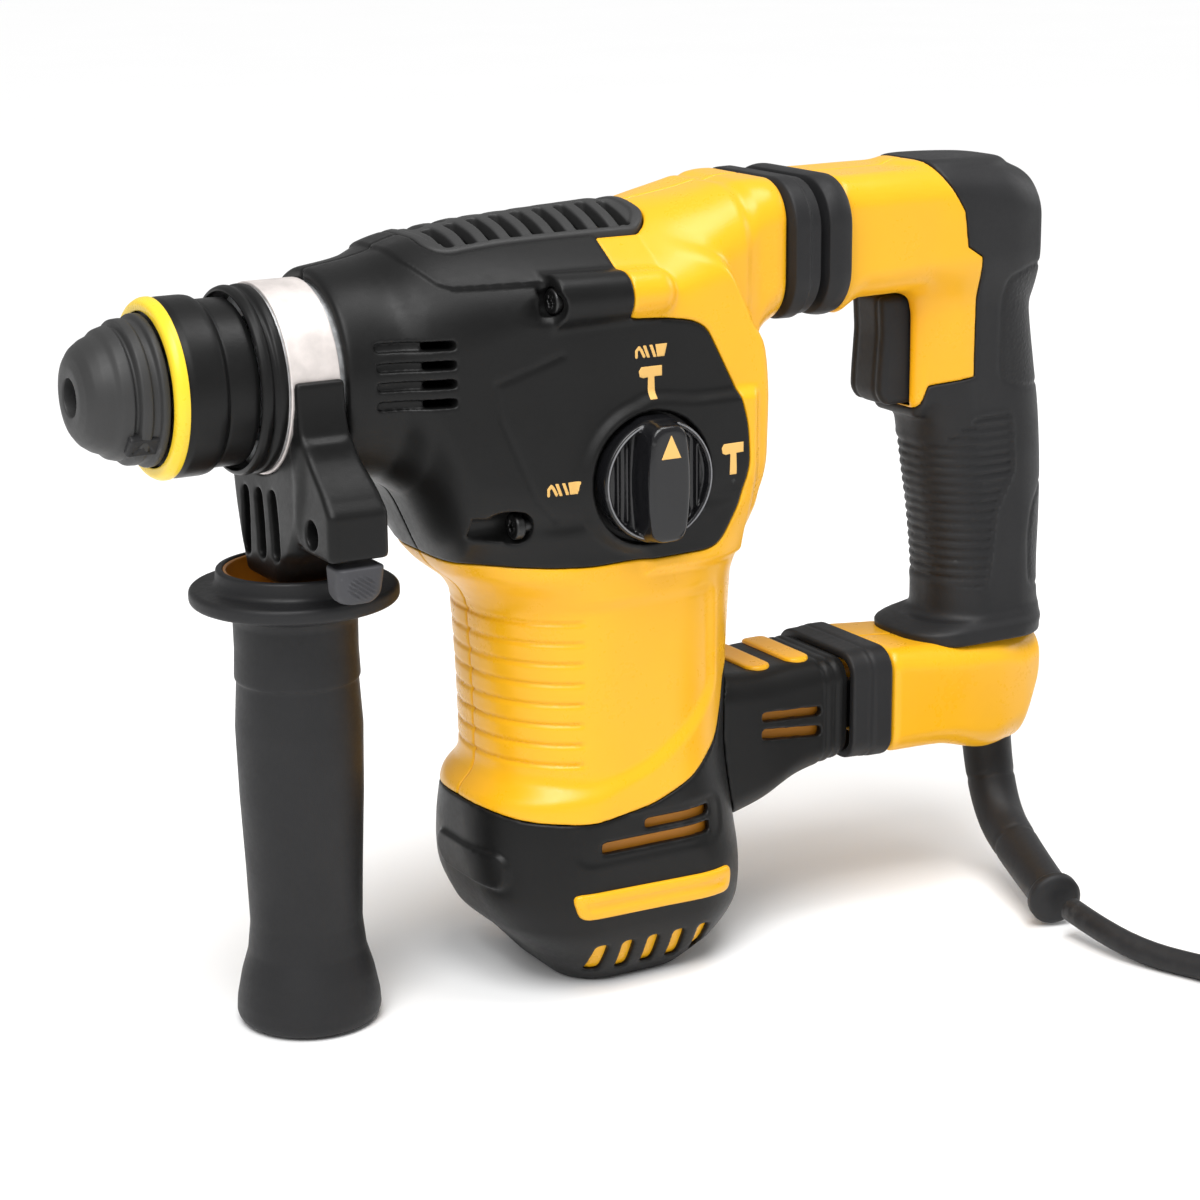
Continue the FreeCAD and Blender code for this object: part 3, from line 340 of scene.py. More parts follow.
def monotone(t, at, values):
    """A smooth curve through the values that never swings past them."""
    at = np.asarray(at, np.float64)
    values = np.asarray(values, np.float64)
    width = np.diff(at)
    rise = np.diff(values) / width
    slope = np.zeros(len(at))
    slope[0], slope[-1] = rise[0], rise[-1]
    for i in range(1, len(at) - 1):
        if rise[i - 1] * rise[i] > 0:
            slope[i] = 2 / (1 / rise[i - 1] + 1 / rise[i])
    t = np.clip(t, at[0], at[-1])
    i = np.clip(np.searchsorted(at, t, side="right") - 1, 0, len(width) - 1)
    s = (t - at[i]) / width[i]
    ease = s * s * (3 - 2 * s)
    bend = s * (1 - s) * ((1 - s) * slope[i] - s * slope[i + 1]) * width[i]
    return (values[i] + (values[i + 1] - values[i]) * ease + bend).astype(np.float32)


def rounded_rectangle(a, b, half_a, half_b, corner):
    """The distance from a rectangle with round corners, from places measured from its middle."""
    a = np.abs(a) - half_a + corner
    b = np.abs(b) - half_b + corner
    return np.hypot(np.maximum(a, 0), np.maximum(b, 0)) + np.minimum(np.maximum(a, b), 0) - corner


def loft(axis, stations, cap=2.0):
    """Rounded rectangles square to an axis: (at, centre 1, centre 2, half 1, half 2, corner)."""
    at = [s[0] for s in stations]

    def field(x, y, z):
        t, u, v = (x, y, z) if axis == "X" else (z, x, y)
        c1, c2, h1, h2, r = (monotone(t, at, [s[i] for s in stations]) for i in range(1, 6))
        side = rounded_rectangle(u - c1, v - c2, h1, h2, r)
        return smooth_max(side, np.maximum(at[0] - t, t - at[-1]), cap)

    return field


def stroke(points):
    """The distance from an open line through the points."""
    def field(a, b):
        nearest = None
        for (a0, b0), (a1, b1) in zip(points, points[1:]):
            da, db = a1 - a0, b1 - b0
            t = np.clip(((a - a0) * da + (b - b0) * db) / (da * da + db * db), 0, 1)
            gap = np.hypot(a - a0 - t * da, b - b0 - t * db)
            nearest = gap if nearest is None else np.minimum(nearest, gap)
        return nearest.astype(np.float32)

    return field


def polygon(points):
    """The distance from a closed outline, negative inside it."""
    outline = stroke(points + points[:1])

    def field(a, b):
        crossings = 0
        for (a0, b0), (a1, b1) in zip(points, points[1:] + points[:1]):
            if b0 != b1:
                spans = (b0 > b) != (b1 > b)
                crossings = crossings + (spans & (a < a0 + (b - b0) * (a1 - a0) / (b1 - b0)))
        nearest = outline(a, b)
        return np.where(crossings % 2 == 1, -nearest, nearest)

    return field


def rounded(outline, reach, axis_kept=False):
    """A closed outline with its corners rounded, save for those on a lathe's axis."""
    result = []
    count = len(outline)
    for i, corner in enumerate(outline):
        here = np.array(corner, float)
        if axis_kept and here[1] < 0.01:
            result.append(tuple(here))
            continue
        before, after = np.array(outline[i - 1], float), np.array(outline[(i + 1) % count], float)
        start = here + (before - here) * min(0.45, reach / max(np.linalg.norm(before - here), 1e-6))
        end = here + (after - here) * min(0.45, reach / max(np.linalg.norm(after - here), 1e-6))
        for t in np.linspace(0, 1, 4):
            result.append(tuple(start * (1 - t) ** 2 + here * 2 * t * (1 - t) + end * t ** 2))
    return result


def taper(start, end, start_radius, end_radius):
    """A round-ended rod whose radius changes along it."""
    sx, sy, sz = start
    dx, dy, dz = (b - a for a, b in zip(start, end))
    length = dx * dx + dy * dy + dz * dz

    def field(x, y, z):
        t = np.clip(((x - sx) * dx + (y - sy) * dy + (z - sz) * dz) / length, 0, 1)
        gap = np.sqrt((x - sx - t * dx) ** 2 + (y - sy - t * dy) ** 2 + (z - sz - t * dz) ** 2)
        return gap - start_radius - (end_radius - start_radius) * t

    return field


def cuboid(low, high, corner=1.0):
    """A box with rounded edges."""
    def field(x, y, z):
        parts = []
        for value, a, b in zip((x, y, z), low, high):
            parts.append(np.abs(value - (a + b) / 2) - (b - a) / 2 + corner)
        outside = np.sqrt(sum(np.maximum(p, 0) ** 2 for p in parts))
        inside = np.minimum(np.maximum(np.maximum(parts[0], parts[1]), parts[2]), 0)
        return outside + inside - corner

    return field


def disc(axis, centre, radius, low, high, corner=0.5):
    """A round bar along an axis, with rounded rims."""
    def field(x, y, z):
        if axis == "X":
            t, gap = x, np.hypot(y - centre[0], z - centre[1])
        elif axis == "Y":
            t, gap = y, np.hypot(x - centre[0], z - centre[1])
        else:
            t, gap = z, np.hypot(x - centre[0], y - centre[1])
        return smooth_max(gap - radius, np.maximum(low - t, t - high), corner)

    return field


# ---------------------------------------------------------------- meshes

CORNERS = list(itertools.product((0, 1), repeat=3))


def sample(values, at):
    """Values between grid points."""
    base = np.clip(np.floor(at).astype(int), 0, np.array(values.shape) - 2)
    part = at - base
    result = 0
    for corner in CORNERS:
        weight = np.prod(np.where(corner, part, 1 - part), axis=1)
        result = result + weight * values[tuple((base + corner).T)]
    return result


def settled(values, at):
    """Points moved onto the surface, by a short step down the field."""
    slope = np.zeros_like(at)
    for axis in range(3):
        shift = np.zeros(3)
        shift[axis] = 0.5
        slope[:, axis] = sample(values, at + shift) - sample(values, at - shift)
    steep = np.maximum((slope ** 2).sum(1), 1e-6)
    move = -(sample(values, at) / steep)[:, None] * slope
    length = np.maximum(np.linalg.norm(move, axis=1, keepdims=True), 1e-9)
    return at + move * np.minimum(1, 0.3 / length)


def net(values):
    """The surface of a grid of field values as points, in grid steps, and quads."""
    inside = values < 0
    size = np.array(values.shape) - 1
    total = np.zeros(size, np.int8)
    for corner in CORNERS:
        total += inside[tuple(slice(o, o + n) for o, n in zip(corner, size))]
    mixed = (total > 0) & (total < 8)
    cells = np.argwhere(mixed)
    number = np.full(mixed.shape, -1)
    number[mixed] = np.arange(len(cells))
    point = np.zeros((len(cells), 3))
    crossings = np.zeros((len(cells), 1))
    for axis in range(3):
        for corner in (c for c in CORNERS if not c[axis]):
            step = np.eye(3, dtype=int)[axis]
            a = values[tuple((cells + corner).T)]
            b = values[tuple((cells + corner + step).T)]
            crossed = (a < 0) != (b < 0)
            t = np.divide(a, a - b, out=np.zeros_like(a), where=crossed)
            point += crossed[:, None] * (np.array(corner) + t[:, None] * step)
            crossings += crossed[:, None]
    quads = []
    for axis in range(3):
        u, v = (axis + 1) % 3, (axis + 2) % 3
        near = [slice(1, -1)] * 3
        far = [slice(1, -1)] * 3
        near[axis] = slice(0, -1)
        far[axis] = slice(1, None)
        at = np.argwhere(inside[tuple(near)] != inside[tuple(far)])
        at[:, u] += 1
        at[:, v] += 1
        outward = inside[tuple(at.T)]
        across, along = np.eye(3, dtype=int)[u], np.eye(3, dtype=int)[v]
        ring = [at - across - along, at - along, at, at - across]
        quad = np.stack([number[tuple(r.T)] for r in ring], axis=1)
        quad[~outward] = quad[~outward][:, ::-1]
        quads.append(quad)
    return settled(values, cells + point / crossings), np.concatenate(quads)


def mesh_object(name, points, faces, smooth_angle=None):
    """A smooth-shaded object from points in metres and equal-sided faces."""
    mesh = bpy.data.meshes.new(name)
    points, faces = np.asarray(points, np.float32), np.asarray(faces, np.int32)
    mesh.vertices.add(len(points))
    mesh.vertices.foreach_set("co", points.ravel())
    mesh.loops.add(faces.size)
    mesh.loops.foreach_set("vertex_index", faces.ravel())
    mesh.polygons.add(len(faces))
    mesh.polygons.foreach_set("loop_start", np.arange(0, faces.size, faces.shape[1], dtype=np.int32))
    mesh.update(calc_edges=True)
    mesh.polygons.foreach_set("use_smooth", np.ones(len(faces), bool))
    if smooth_angle:
        mesh.set_sharp_from_angle(angle=math.radians(smooth_angle))
    piece = bpy.data.objects.new(name, mesh)
    bpy.context.scene.collection.objects.link(piece)
    return piece


def surface(name, field, low, high, step, grain=None):
    """A piece from a field inside a box, and the share of grain wanted at each point."""
    axes = [np.arange(a - 2.5 * step, b + 3 * step, step, dtype=np.float32) for a, b in zip(low, high)]
    grid = np.meshgrid(*axes, indexing="ij", sparse=True)
    shape = tuple(len(a) for a in axes)
    values = np.ascontiguousarray(np.broadcast_to(field(*grid), shape), dtype=np.float32)
    points, quads = net(values)
    points = np.array([a[0] for a in axes]) + points * step
    piece = mesh_object(name, points * MM, quads)
    if grain:
        share = piece.data.attributes.new("grain_zone", "FLOAT", "POINT")
        share.data.foreach_set("value", np.asarray(grain(*points.T), np.float32))
    return piece


def ring_faces(rings, runs, segments):
    """The faces from each ring of points to the next, and from the last ring back to the first."""
    k = np.arange(segments)
    n = (k + 1) % segments
    faces = []
    for run in range(runs):
        i, j = run * segments, (run + 1) % rings * segments
        faces.append(np.stack([i + k, i + n, j + n, j + k], axis=1))
    return np.concatenate(faces)


def weld(piece):
    """Joins the points that coincide and turns every face outwards."""
    work = bmesh.new()
    work.from_mesh(piece.data)
    bmesh.ops.remove_doubles(work, verts=work.verts, dist=1e-7)
    bmesh.ops.recalc_face_normals(work, faces=work.faces)
    work.to_mesh(piece.data)
    work.free()


def turned(name, outline, axis, centre, reach=0.5, segments=144):
    """A lathe piece about an axis through the centre."""
    outline = rounded(outline, reach, axis_kept=True)
    count = len(outline)
    angles = np.linspace(0, 2 * math.pi, segments, endpoint=False)
    points = []
    for along, radius in outline:
        ring = np.stack([np.full(segments, along), radius * np.cos(angles), radius * np.sin(angles)], axis=1)
        points.append(ring if axis == "X" else ring[:, [1, 2, 0]])
    points = np.concatenate(points) + np.array(centre)
    piece = mesh_object(name, points * MM, ring_faces(count, count, segments))
    weld(piece)
    piece.data.set_sharp_from_angle(angle=math.radians(38))
    return piece


def joined(name, pieces):
    """One object from several."""
    work = bmesh.new()
    for piece in pieces:
        work.from_mesh(piece.data)
        bpy.data.objects.remove(piece)
    mesh = bpy.data.meshes.new(name)
    work.to_mesh(mesh)
    work.free()
    result = bpy.data.objects.new(name, mesh)
    bpy.context.scene.collection.objects.link(result)
    return result


def finish_piece(piece, body, slot, nodes=(), finish=None):
    """Puts a piece on its body, in place of CAD nodes, with its finish."""
    piece.data.materials.clear()
    piece.data.materials.append(FINISHES[finish or slot])
    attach(piece, body)
    if nodes:
        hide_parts(*nodes)
    return piece


# ---------------------------------------------------------------- cord, on the CAD's route

CORD_ROUTE = [
    (303, -69.3, -190.8), (303, -86, -193.2), (308, -104, -196), (316, -122, -196), (321.5, -141, -196),
]
TAIL_ROUTE = [(-43.5, 10, -175), (-43.5, -9, -174), (-32.5, -32, -166), (-12, -46, -158.5), (12, -49, -154)]
BOOT_ROUTE = [(319.6, 0, -149.5), (320, -3, -176), (311, -36, -187), (303, -62, -190.5)]
BOOT_RADII = (8.6, 6.9)
COIL_CENTRE = (middle_mm("cord_coil", 0), middle_mm("cord_coil", 1))
CORD_RADIUS = 4
COIL_LAYERS = [
    (4, (56, 48, 40, 32)), (11, (36, 44, 52)), (18, (56, 48, 40, 32)), (25, (36, 44)),
]
CORD_TAIL = [(COIL_CENTRE[0] + x, COIL_CENTRE[1] + y, z) for x, y, z in TAIL_ROUTE]


def coil_points():
    """The turns of the coil, each on one radius with an easy step to the next."""
    steps = 20
    turns = [(radius, FLOOR + height) for height, radii in COIL_LAYERS for radius in radii]
    swell = 1 / math.cos(math.pi / steps)
    points = []
    for i, (radius, height) in enumerate(turns):
        next_radius, next_height = turns[min(i + 1, len(turns) - 1)]
        for step in range(steps):
            share = step / steps
            ease = max(0.0, share - 0.65) / 0.35
            angle = math.pi + 2 * math.pi * share
            reach = (radius + (next_radius - radius) * ease) * swell
            points.append((
                COIL_CENTRE[0] + reach * math.cos(angle), COIL_CENTRE[1] + reach * math.sin(angle),
                height + (next_height - height) * ease,
            ))
    return points


def route_curve(name, points, radius=0.0):
    """A smooth curve with the points as its controls."""
    curve = bpy.data.curves.new(name, "CURVE")
    curve.dimensions = "3D"
    curve.resolution_u = 4
    curve.bevel_depth = radius * MM
    curve.bevel_resolution = 4
    curve.use_fill_caps = True
    spline = curve.splines.new("NURBS")
    spline.points.add(len(points) - 1)
    for point, place in zip(spline.points, points):
        point.co = (place[0] * MM, place[1] * MM, place[2] * MM, 1)
    spline.order_u = 3
    spline.use_endpoint_u = True
    piece = bpy.data.objects.new(name, curve)
    bpy.context.scene.collection.objects.link(piece)
    return piece


def path_along(controls, resolution=4):
    """Places along the smooth line that the control points give, in millimetres."""
    line = route_curve("line", controls)
    line.data.resolution_u = resolution
    bpy.context.view_layer.update()
    mesh = bpy.data.meshes.new_from_object(line)
    path = [np.array(v.co) / MM for v in mesh.vertices]
    bpy.data.meshes.remove(mesh)
    bpy.data.objects.remove(line)
    return path


def make_cord():
    """The mains cord from the boot to its plug, put away in a tied coil."""
    points = CORD_ROUTE[:-1] + coil_points()[:-1] + CORD_TAIL
    cord = route_curve("mains_cord", points, CORD_RADIUS)
    path = path_along(points)
    finish_piece(cord, "housing", "soft_black", ["cord", "cord_coil"])
    plug = make_plug()
    make_tie()


def make_plug():
    """A two-pin plug with finger ribs and a sleeve where the cord enters."""
    end = Vector(CORD_TAIL[-1])
    heading = end - Vector(CORD_TAIL[-2])
    heading.z = 0
    heading.normalize()
    body = turned("plug_body", [
        (0, 0), (0, 5.2), (3, 5.6), (4, 5), (6, 5), (7, 6.2), (9, 5.8), (11, 5.8), (12, 6.8), (16, 7.8),
        (20, 13.4), (27, 17.2), (31, 17.2), (32, 16.4), (33, 17.2), (36, 17.2), (37, 16.4), (38, 17.2),
        (47, 17.2), (49.6, 15.6), (49.6, 0),
    ], "X", (0, 0, 0), 0.8, 96)
    pin = [(49, 0), (49, 2.4), (67.6, 2.4), (68.8, 1.4), (68.8, 0)]
    pins = [turned("plug_pin", pin, "X", (0, y, 0), 0.4, 48) for y in (-9.5, 9.5)]
    turn = Matrix.Translation(end * MM) @ heading.to_track_quat("X", "Z").to_matrix().to_4x4()
    for piece in [body] + pins:
        piece.data.transform(turn)
    pins = joined("plug_pins", pins)
    finish_piece(body, "housing", "soft_black", ["plug"])
    finish_piece(pins, "housing", "bright_steel")
    pins.parent = body
    return body


def make_tie():
    """A soft strap round the coil that keeps its turns together."""
    inner, outer, low, high = 26.5, 61.5, FLOOR + 0.4, FLOOR + 30.5
    angle = math.radians(60)

    def field(x, y, z):
        out = (x - COIL_CENTRE[0]) * math.cos(angle) + (y - COIL_CENTRE[1]) * math.sin(angle)
        side = (y - COIL_CENTRE[1]) * math.cos(angle) - (x - COIL_CENTRE[0]) * math.sin(angle)
        ring = cuboid((inner, -4.5, low), (outer, 4.5, high), 4)(out, np.zeros_like(out), z)
        band = smooth_max(np.abs(ring + 0.5) - 0.5, np.abs(side) - 4.5, 0.5)
        return np.maximum(band, low - z)

    reach = 66
    low_corner = (COIL_CENTRE[0] - 5, COIL_CENTRE[1] + 15, FLOOR)
    high_corner = (COIL_CENTRE[0] + reach, COIL_CENTRE[1] + reach, FLOOR + 33)
    finish_piece(surface("coil_tie", field, low_corner, high_corner, 0.6), "housing", "grey_plastic")


def make_boot():
    """The tapered strain relief, with two shallow steps and a rim at its end."""
    path = path_along(BOOT_ROUTE, 24)
    reach = np.concatenate([[0], np.cumsum([np.linalg.norm(b - a) for a, b in zip(path, path[1:])])])
    share = reach / reach[-1]
    count, segments = 120, 48
    spots = np.linspace(0, 1, count)
    centre = np.stack([np.interp(spots, share, [p[i] for p in path]) for i in range(3)], axis=1)
    along = np.gradient(centre, axis=0)
    along /= np.linalg.norm(along, axis=1, keepdims=True)
    across = np.cross(along, np.array([1.0, 0.35, 0]))
    across /= np.linalg.norm(across, axis=1, keepdims=True)
    other = np.cross(along, across)
    radius = BOOT_RADII[0] + (BOOT_RADII[1] - BOOT_RADII[0]) * spots
    radius = radius + 1.9 * ramp(0.945 - spots, 0.02) * ramp(spots - 0.992, 0.006)
    for step in (0.2, 0.55):
        radius = radius - 0.3 * groove(spots - step, 0.012)
    angles = np.linspace(0, 2 * math.pi, segments, endpoint=False)
    rings = [c + r * (np.outer(np.cos(angles), a) + np.outer(np.sin(angles), o))
             for c, a, o, r in zip(centre, across, other, radius)]
    points = np.concatenate([centre[:1].repeat(segments, 0)] + rings + [centre[-1:].repeat(segments, 0)])
    boot = mesh_object("strain_relief", points * MM, ring_faces(count + 2, count + 1, segments))
    weld(boot)
    finish_piece(boot, "rear_handle", "soft_black", ["cord_boot"])


# ---------------------------------------------------------------- casing

WIDE = [
    (68, 0, 0, 30.5, 30.5, 30.4),
    (84, 0, 0, 33, 33, 32),
    (92, 0, -0.9, 36, 36.1, 30),
    (106, 0, -10.7, 38.5, 49.3, 30),
    (126, 0, -10.4, 40, 51.7, 28),
    (153, 0, -9.3, 41, 52.8, 27),
    (180, 0, -7.3, 40.5, 52.8, 26),
    (208, 0, -4.5, 38.5, 51, 24),
]
SHOULDER = [
    (50, 70), (150, 70), (165, 44), (172, 39.8), (183.8, 32.1), (190.5, 25), (195.5, 15.3), (198.8, 8),
    (203.5, 2), (205, -12.8), (204.5, -28.6), (203.5, -50), (202, -75), (50, -75),
]
NECK = [
    (120, 0, -10, 33, 48, 22),
    (150, 0, -9.3, 34, 49, 22),
    (180, 0, -7.3, 34, 51, 21),
    (200, 0, -4.6, 31, 51.8, 20),
    (204, 0, 8, 29, 39, 18),
    (208, 0, 22, 28, 26, 14),
    (213, 0, 25.5, 28, 22.8, 13),
    (218, 0, 26.6, 27, 21.7, 13),
]
COLUMN = [
    (-200, 164.5, 0, 21.5, 23, 14),
    (-190, 166, 0, 32, 31, 20),
    (-177, 163.4, 0, 42.6, 36.5, 26),
    (-164, 160.7, 0, 45.3, 38.3, 28),
    (-150, 159.6, 0, 46.2, 38.5, 33),
    (-138, 159.4, 0, 45.4, 38.2, 35),
    (-126, 161.4, 0, 42.6, 37.6, 35),
    (-73, 161.3, 0, 44.7, 38, 35),
    (-62, 158, 0, 51, 38.3, 33),
    (-50, 158, 0, 53, 38, 30),
]
KNOB_SIDE = [
    (50, -58), (50, 70), (153, 70), (153, 34), (153.5, 14.5), (155, 13.5), (166, 12.8), (176, 11.2),
    (181, 8.5), (191.3, -11), (194.5, -22), (195.2, -34), (192, -46), (187, -56.5), (182, -59.3),
    (143, -60.3), (110, -58),
]
CAP_SIDE = [
    (60, -131.6), (107, -135.3), (122, -140.3), (142, -141.7), (163, -138.5), (179, -132), (190, -123),
    (194, -111), (195.5, -103), (240, -102), (240, -230), (60, -230),
]
WALL = 3.2
COLLAR_RADIUS = 27
KNOB_RADIUS, WELL_RADIUS, PAD_RADIUS = 18.6, 20.3, 23
PIN_X, PIN_Z, PIN_RADIUS = 255, -126, 4
WINDOW_CORNER = 9.0
PANEL_HALF = 40.2
SEAM = 0.08
UPPER_BOSS = (129, 37.5, 20.5)
LOWER_SCREW = (117, 34, -45.5)
DECK = [(86, 62), (88, 40), (91, 33), (97, 27), (101, 25.6), (148, 25.4), (160, 30), (178, 42), (182, 62)]
KNOB_PAD = [(MOTOR, -64), (225, -64), (225, -12), (MOTOR, -12)]
MOTOR_PANEL = [
    (100, -74), (186, -72.8), (187.6, -105.6), (179.6, -114.7), (163.3, -125.9), (143.8, -132.1), (100, -133),
]
FLANK_SLOPE, FLANK_HEIGHT = math.radians(33.3), 41.1

wide_part, neck_part, column_part = loft("X", WIDE), loft("X", NECK), loft("Z", COLUMN)
shoulder_side = polygon(rounded(SHOULDER, 6))
black_side = polygon(rounded(KNOB_SIDE, 3))
cap_side = polygon(rounded(CAP_SIDE, 4))
deck_side = polygon(DECK)
pad_side = polygon(KNOB_PAD)
motor_panel = polygon(rounded(MOTOR_PANEL, 4))


def flank(x, y, z):
    """The slanted upper flanks of the gear housing, easing off towards the neck."""
    out = np.abs(y) * math.sin(FLANK_SLOPE) + z * math.cos(FLANK_SLOPE)
    return out - FLANK_HEIGHT - 0.35 * np.maximum(0, x - 168)


def casing(x, y, z):
    """The smooth outside of both housings and the motor cap, without their details."""
    body = smooth_max(wide_part(x, y, z), shoulder_side(x, z), 3.5)
    body = smooth_min(body, neck_part(x, y, z), 5)
    body = smooth_max(body, flank(x, y, z), 8)
    body = smooth_min(body, column_part(x, y, z), 7)
    return smooth_max(body, np.abs(y) - PANEL_HALF, 1.2)


def side_field(side, field):
    """A field made for the left side, used on either."""
    return lambda x, y, z: field(x, -side * y, z)


def boss(x, y, z):
    """The long boss of an upper housing screw, on the left."""
    bx, by, bz = UPPER_BOSS
    body = taper((bx, -by, bz), (bx + 34, -by, bz), 8, 7)(x, y, z)
    return smooth_max(body, bx - x, 0.8)


def knob_pad(x, y, z):
    """How far the flat pad behind the knob stands out, on the left."""
    pad = np.hypot(x - MOTOR, z - KNOB_HEIGHT) - PAD_RADIUS
    pad = smooth_min(pad, pad_side(x, z), 6)
    return 2.6 * ramp(pad, 4.4) * ramp(y + 30, 4) * ramp(x - 198.5, 4)


def screw_spaces(x, y, z):
    """The channels and pockets through which the left housing screws are reached."""
    bx, by, bz = UPPER_BOSS
    channel = taper((100, -46, 15), (bx - 4, -43, bz - 1), 0.5, 6)(x, y, z)
    hole = disc("X", (-by, bz), 4.2, bx - 3, bx + 3)(x, y, z)
    sx, sy, sz = LOWER_SCREW
    pocket = taper((99, -44, -42), (sx, -sy - 2, sz), 2, 5.5)(x, y, z)
    low_hole = disc("X", (-sy, sz), 4.2, 104, sx + 3)(x, y, z)
    return np.minimum(np.minimum(channel, hole), np.minimum(pocket, low_hole))


def rounded_window(x, y, x0, x1, half):
    """A rounded rectangle from x0 to x1, seen from above."""
    return rounded_rectangle(x - (x0 + x1) / 2, y, (x1 - x0) / 2, half, WINDOW_CORNER)


def black_outside(x, y, z):
    """The gear housing's outside with its raised deck, bosses, pockets and knob pad."""
    body = casing(x, y, z) - 1.0 * ramp(deck_side(x, z), 1.4) - knob_pad(x, y, z)
    for side in SIDES:
        body = smooth_min(body, side_field(side, boss)(x, y, z), 2.5)
    for side in SIDES:
        body = smooth_max(body, -side_field(side, screw_spaces)(x, y, z), 1.0)
    well = disc("Y", (MOTOR, KNOB_HEIGHT), WELL_RADIUS, -60, -38.7)(x, y, z)
    body = smooth_max(body, -well, 0.6)
    line = stroke([(131.7, 4.8), (110.3, -1.9), (111.7, -12.3), (122.8, -37.3), (129.4, -44.1)])(x, z)
    return body + 0.45 * groove(line, 0.9)


def make_halves(housing, field, low, high, slot):
    """The left and the right half of a housing, which meet on the middle plane."""
    for side, hand in zip(SIDES, ("left", "right")):
        def half(x, y, z, side=side):
            return smooth_max(field(x, y, z), SEAM - side * y, 1)

        near = (low[0], low[1] if side < 0 else 0, low[2])
        far = (high[0], 0 if side < 0 else high[1], high[2])
        piece = surface(f"{housing}_{hand}_shell", half, near, far, 0.65)
        finish_piece(piece, "housing", slot, [f"{housing}_{hand}"])


def make_gear_housing():
    """The two black halves, with side vents and the opening for the top insert."""
    heights = (-6, -0.5, 5, 10.5)
    pockets = [cuboid((76.3, -60, z - 1.3), (98.7, 60, z + 1.3), 1.2) for z in heights]
    vents = [cuboid((89.5, -60, z - 1.2), (98.5, 60, z + 1.2), 1.1) for z in heights]
    knob_hole = disc("Y", (MOTOR, KNOB_HEIGHT), 7.4, -60, -25)

    def field(x, y, z):
        outside = black_outside(x, y, z)
        body = smooth_max(outside, black_side(x, z) + SEAM, 0.7)
        inner = smooth_max(casing(x, y, z) + WALL, -(z - 60), 1)
        body = np.maximum(body, -inner)
        collar = np.hypot(y, z) - (COLLAR_RADIUS + 0.1)
        body = smooth_max(body, -np.maximum(collar, x - 84), 0.4)
        opening = np.maximum(rounded_window(x, y, *WINDOW_EDGES), 15 - z)
        body = smooth_max(body, -opening, 0.7)
        for pocket, vent in zip(pockets, vents):
            body = smooth_max(body, -np.maximum(pocket(x, y, z), -(outside + 1.4)), 0.4)
            body = smooth_max(body, -vent(x, y, z), 0.4)
        return smooth_max(body, -knob_hole(x, y, z), 0.4)

    make_halves("gear_housing", field, (66, -47, -64), (200, 47, 50), "black_plastic")


def yellow_outside(x, y, z):
    """The motor housing's outside: finger grooves in front, a plain panel on each side."""
    grooves, top_groove, pitch, groove_depth, panel_depth = 8, -78.4, 6.45, 0.9, 1.6
    body = casing(x, y, z) - knob_pad(x, y, z)
    upper_boss = np.minimum(side_field(-1, boss)(x, y, z), side_field(1, boss)(x, y, z))
    body = smooth_min(body, upper_boss, 2.5)
    front = ramp(x - 141, 2.5) * ramp(z + 75, 2) * ramp(-131 - z, 2)
    wave = 0
    for i in range(grooves):
        wave = wave + groove(z - top_groove + pitch * i, 0.6)
    return body + groove_depth * front * wave + panel_depth * ramp(motor_panel(x, z), 5.5)


def make_main_housing():
    """The two yellow halves round the motor, up to the neck of the rear handle."""
    def field(x, y, z):
        outside = yellow_outside(x, y, z)
        body = smooth_max(outside, SEAM - black_side(x, z), 0.7)
        body = smooth_max(body, SEAM - cap_side(x, z), 0.7)
        inner = smooth_max(outside + WALL, x - 219.5, 1)
        body = np.maximum(body, -inner)
        opening = np.maximum(rounded_window(x, y, *WINDOW_EDGES), 15 - z)
        return smooth_max(body, -opening, 0.7)

    make_halves("main_housing", field, (98, -47, -146), (219, 47, 50), "yellow_plastic")


def vent_edges():
    """The front, rear and side edges of the opening that takes the top insert."""
    low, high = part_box("top_vent_insert")
    return low[0] / MM - 0.2, high[0] / MM + 0.2, high[1] / MM + 0.2


WINDOW_EDGES = vent_edges()


def make_vent_insert():
    """The louvred panel in the top, with a rim and nine slots in each of its two rows."""
    x0, x1, half = WINDOW_EDGES
    slots, first_slot, pitch, half_slot = 9, 7.9, 7.35, 1.9

    def field(x, y, z):
        body = smooth_max(black_outside(x, y, z), rounded_window(x, y, x0 + 0.3, x1 - 0.3, half - 0.3), 0.8)
        inner_edge = rounded_window(x, y, x0 + 3, x1 - 3, half - 2.4)
        body = body + 0.7 * ramp(inner_edge, 0.8)
        body = smooth_max(body, -(casing(x, y, z) + 4), 0.3)
        for i in range(slots):
            middle = x0 + first_slot + pitch * i
            slot = cuboid((middle - half_slot, 1.8, 0), (middle + half_slot, 18.4, 80), 1.6)(x, np.abs(y), z)
            body = smooth_max(body, -slot, 0.6)
        return body

    piece = surface("top_louvres", field, (x0, -half, 25), (x1, half, 50), 0.45)
    finish_piece(piece, "housing", "black_plastic", ["top_vent_insert"], "grey_rubber")


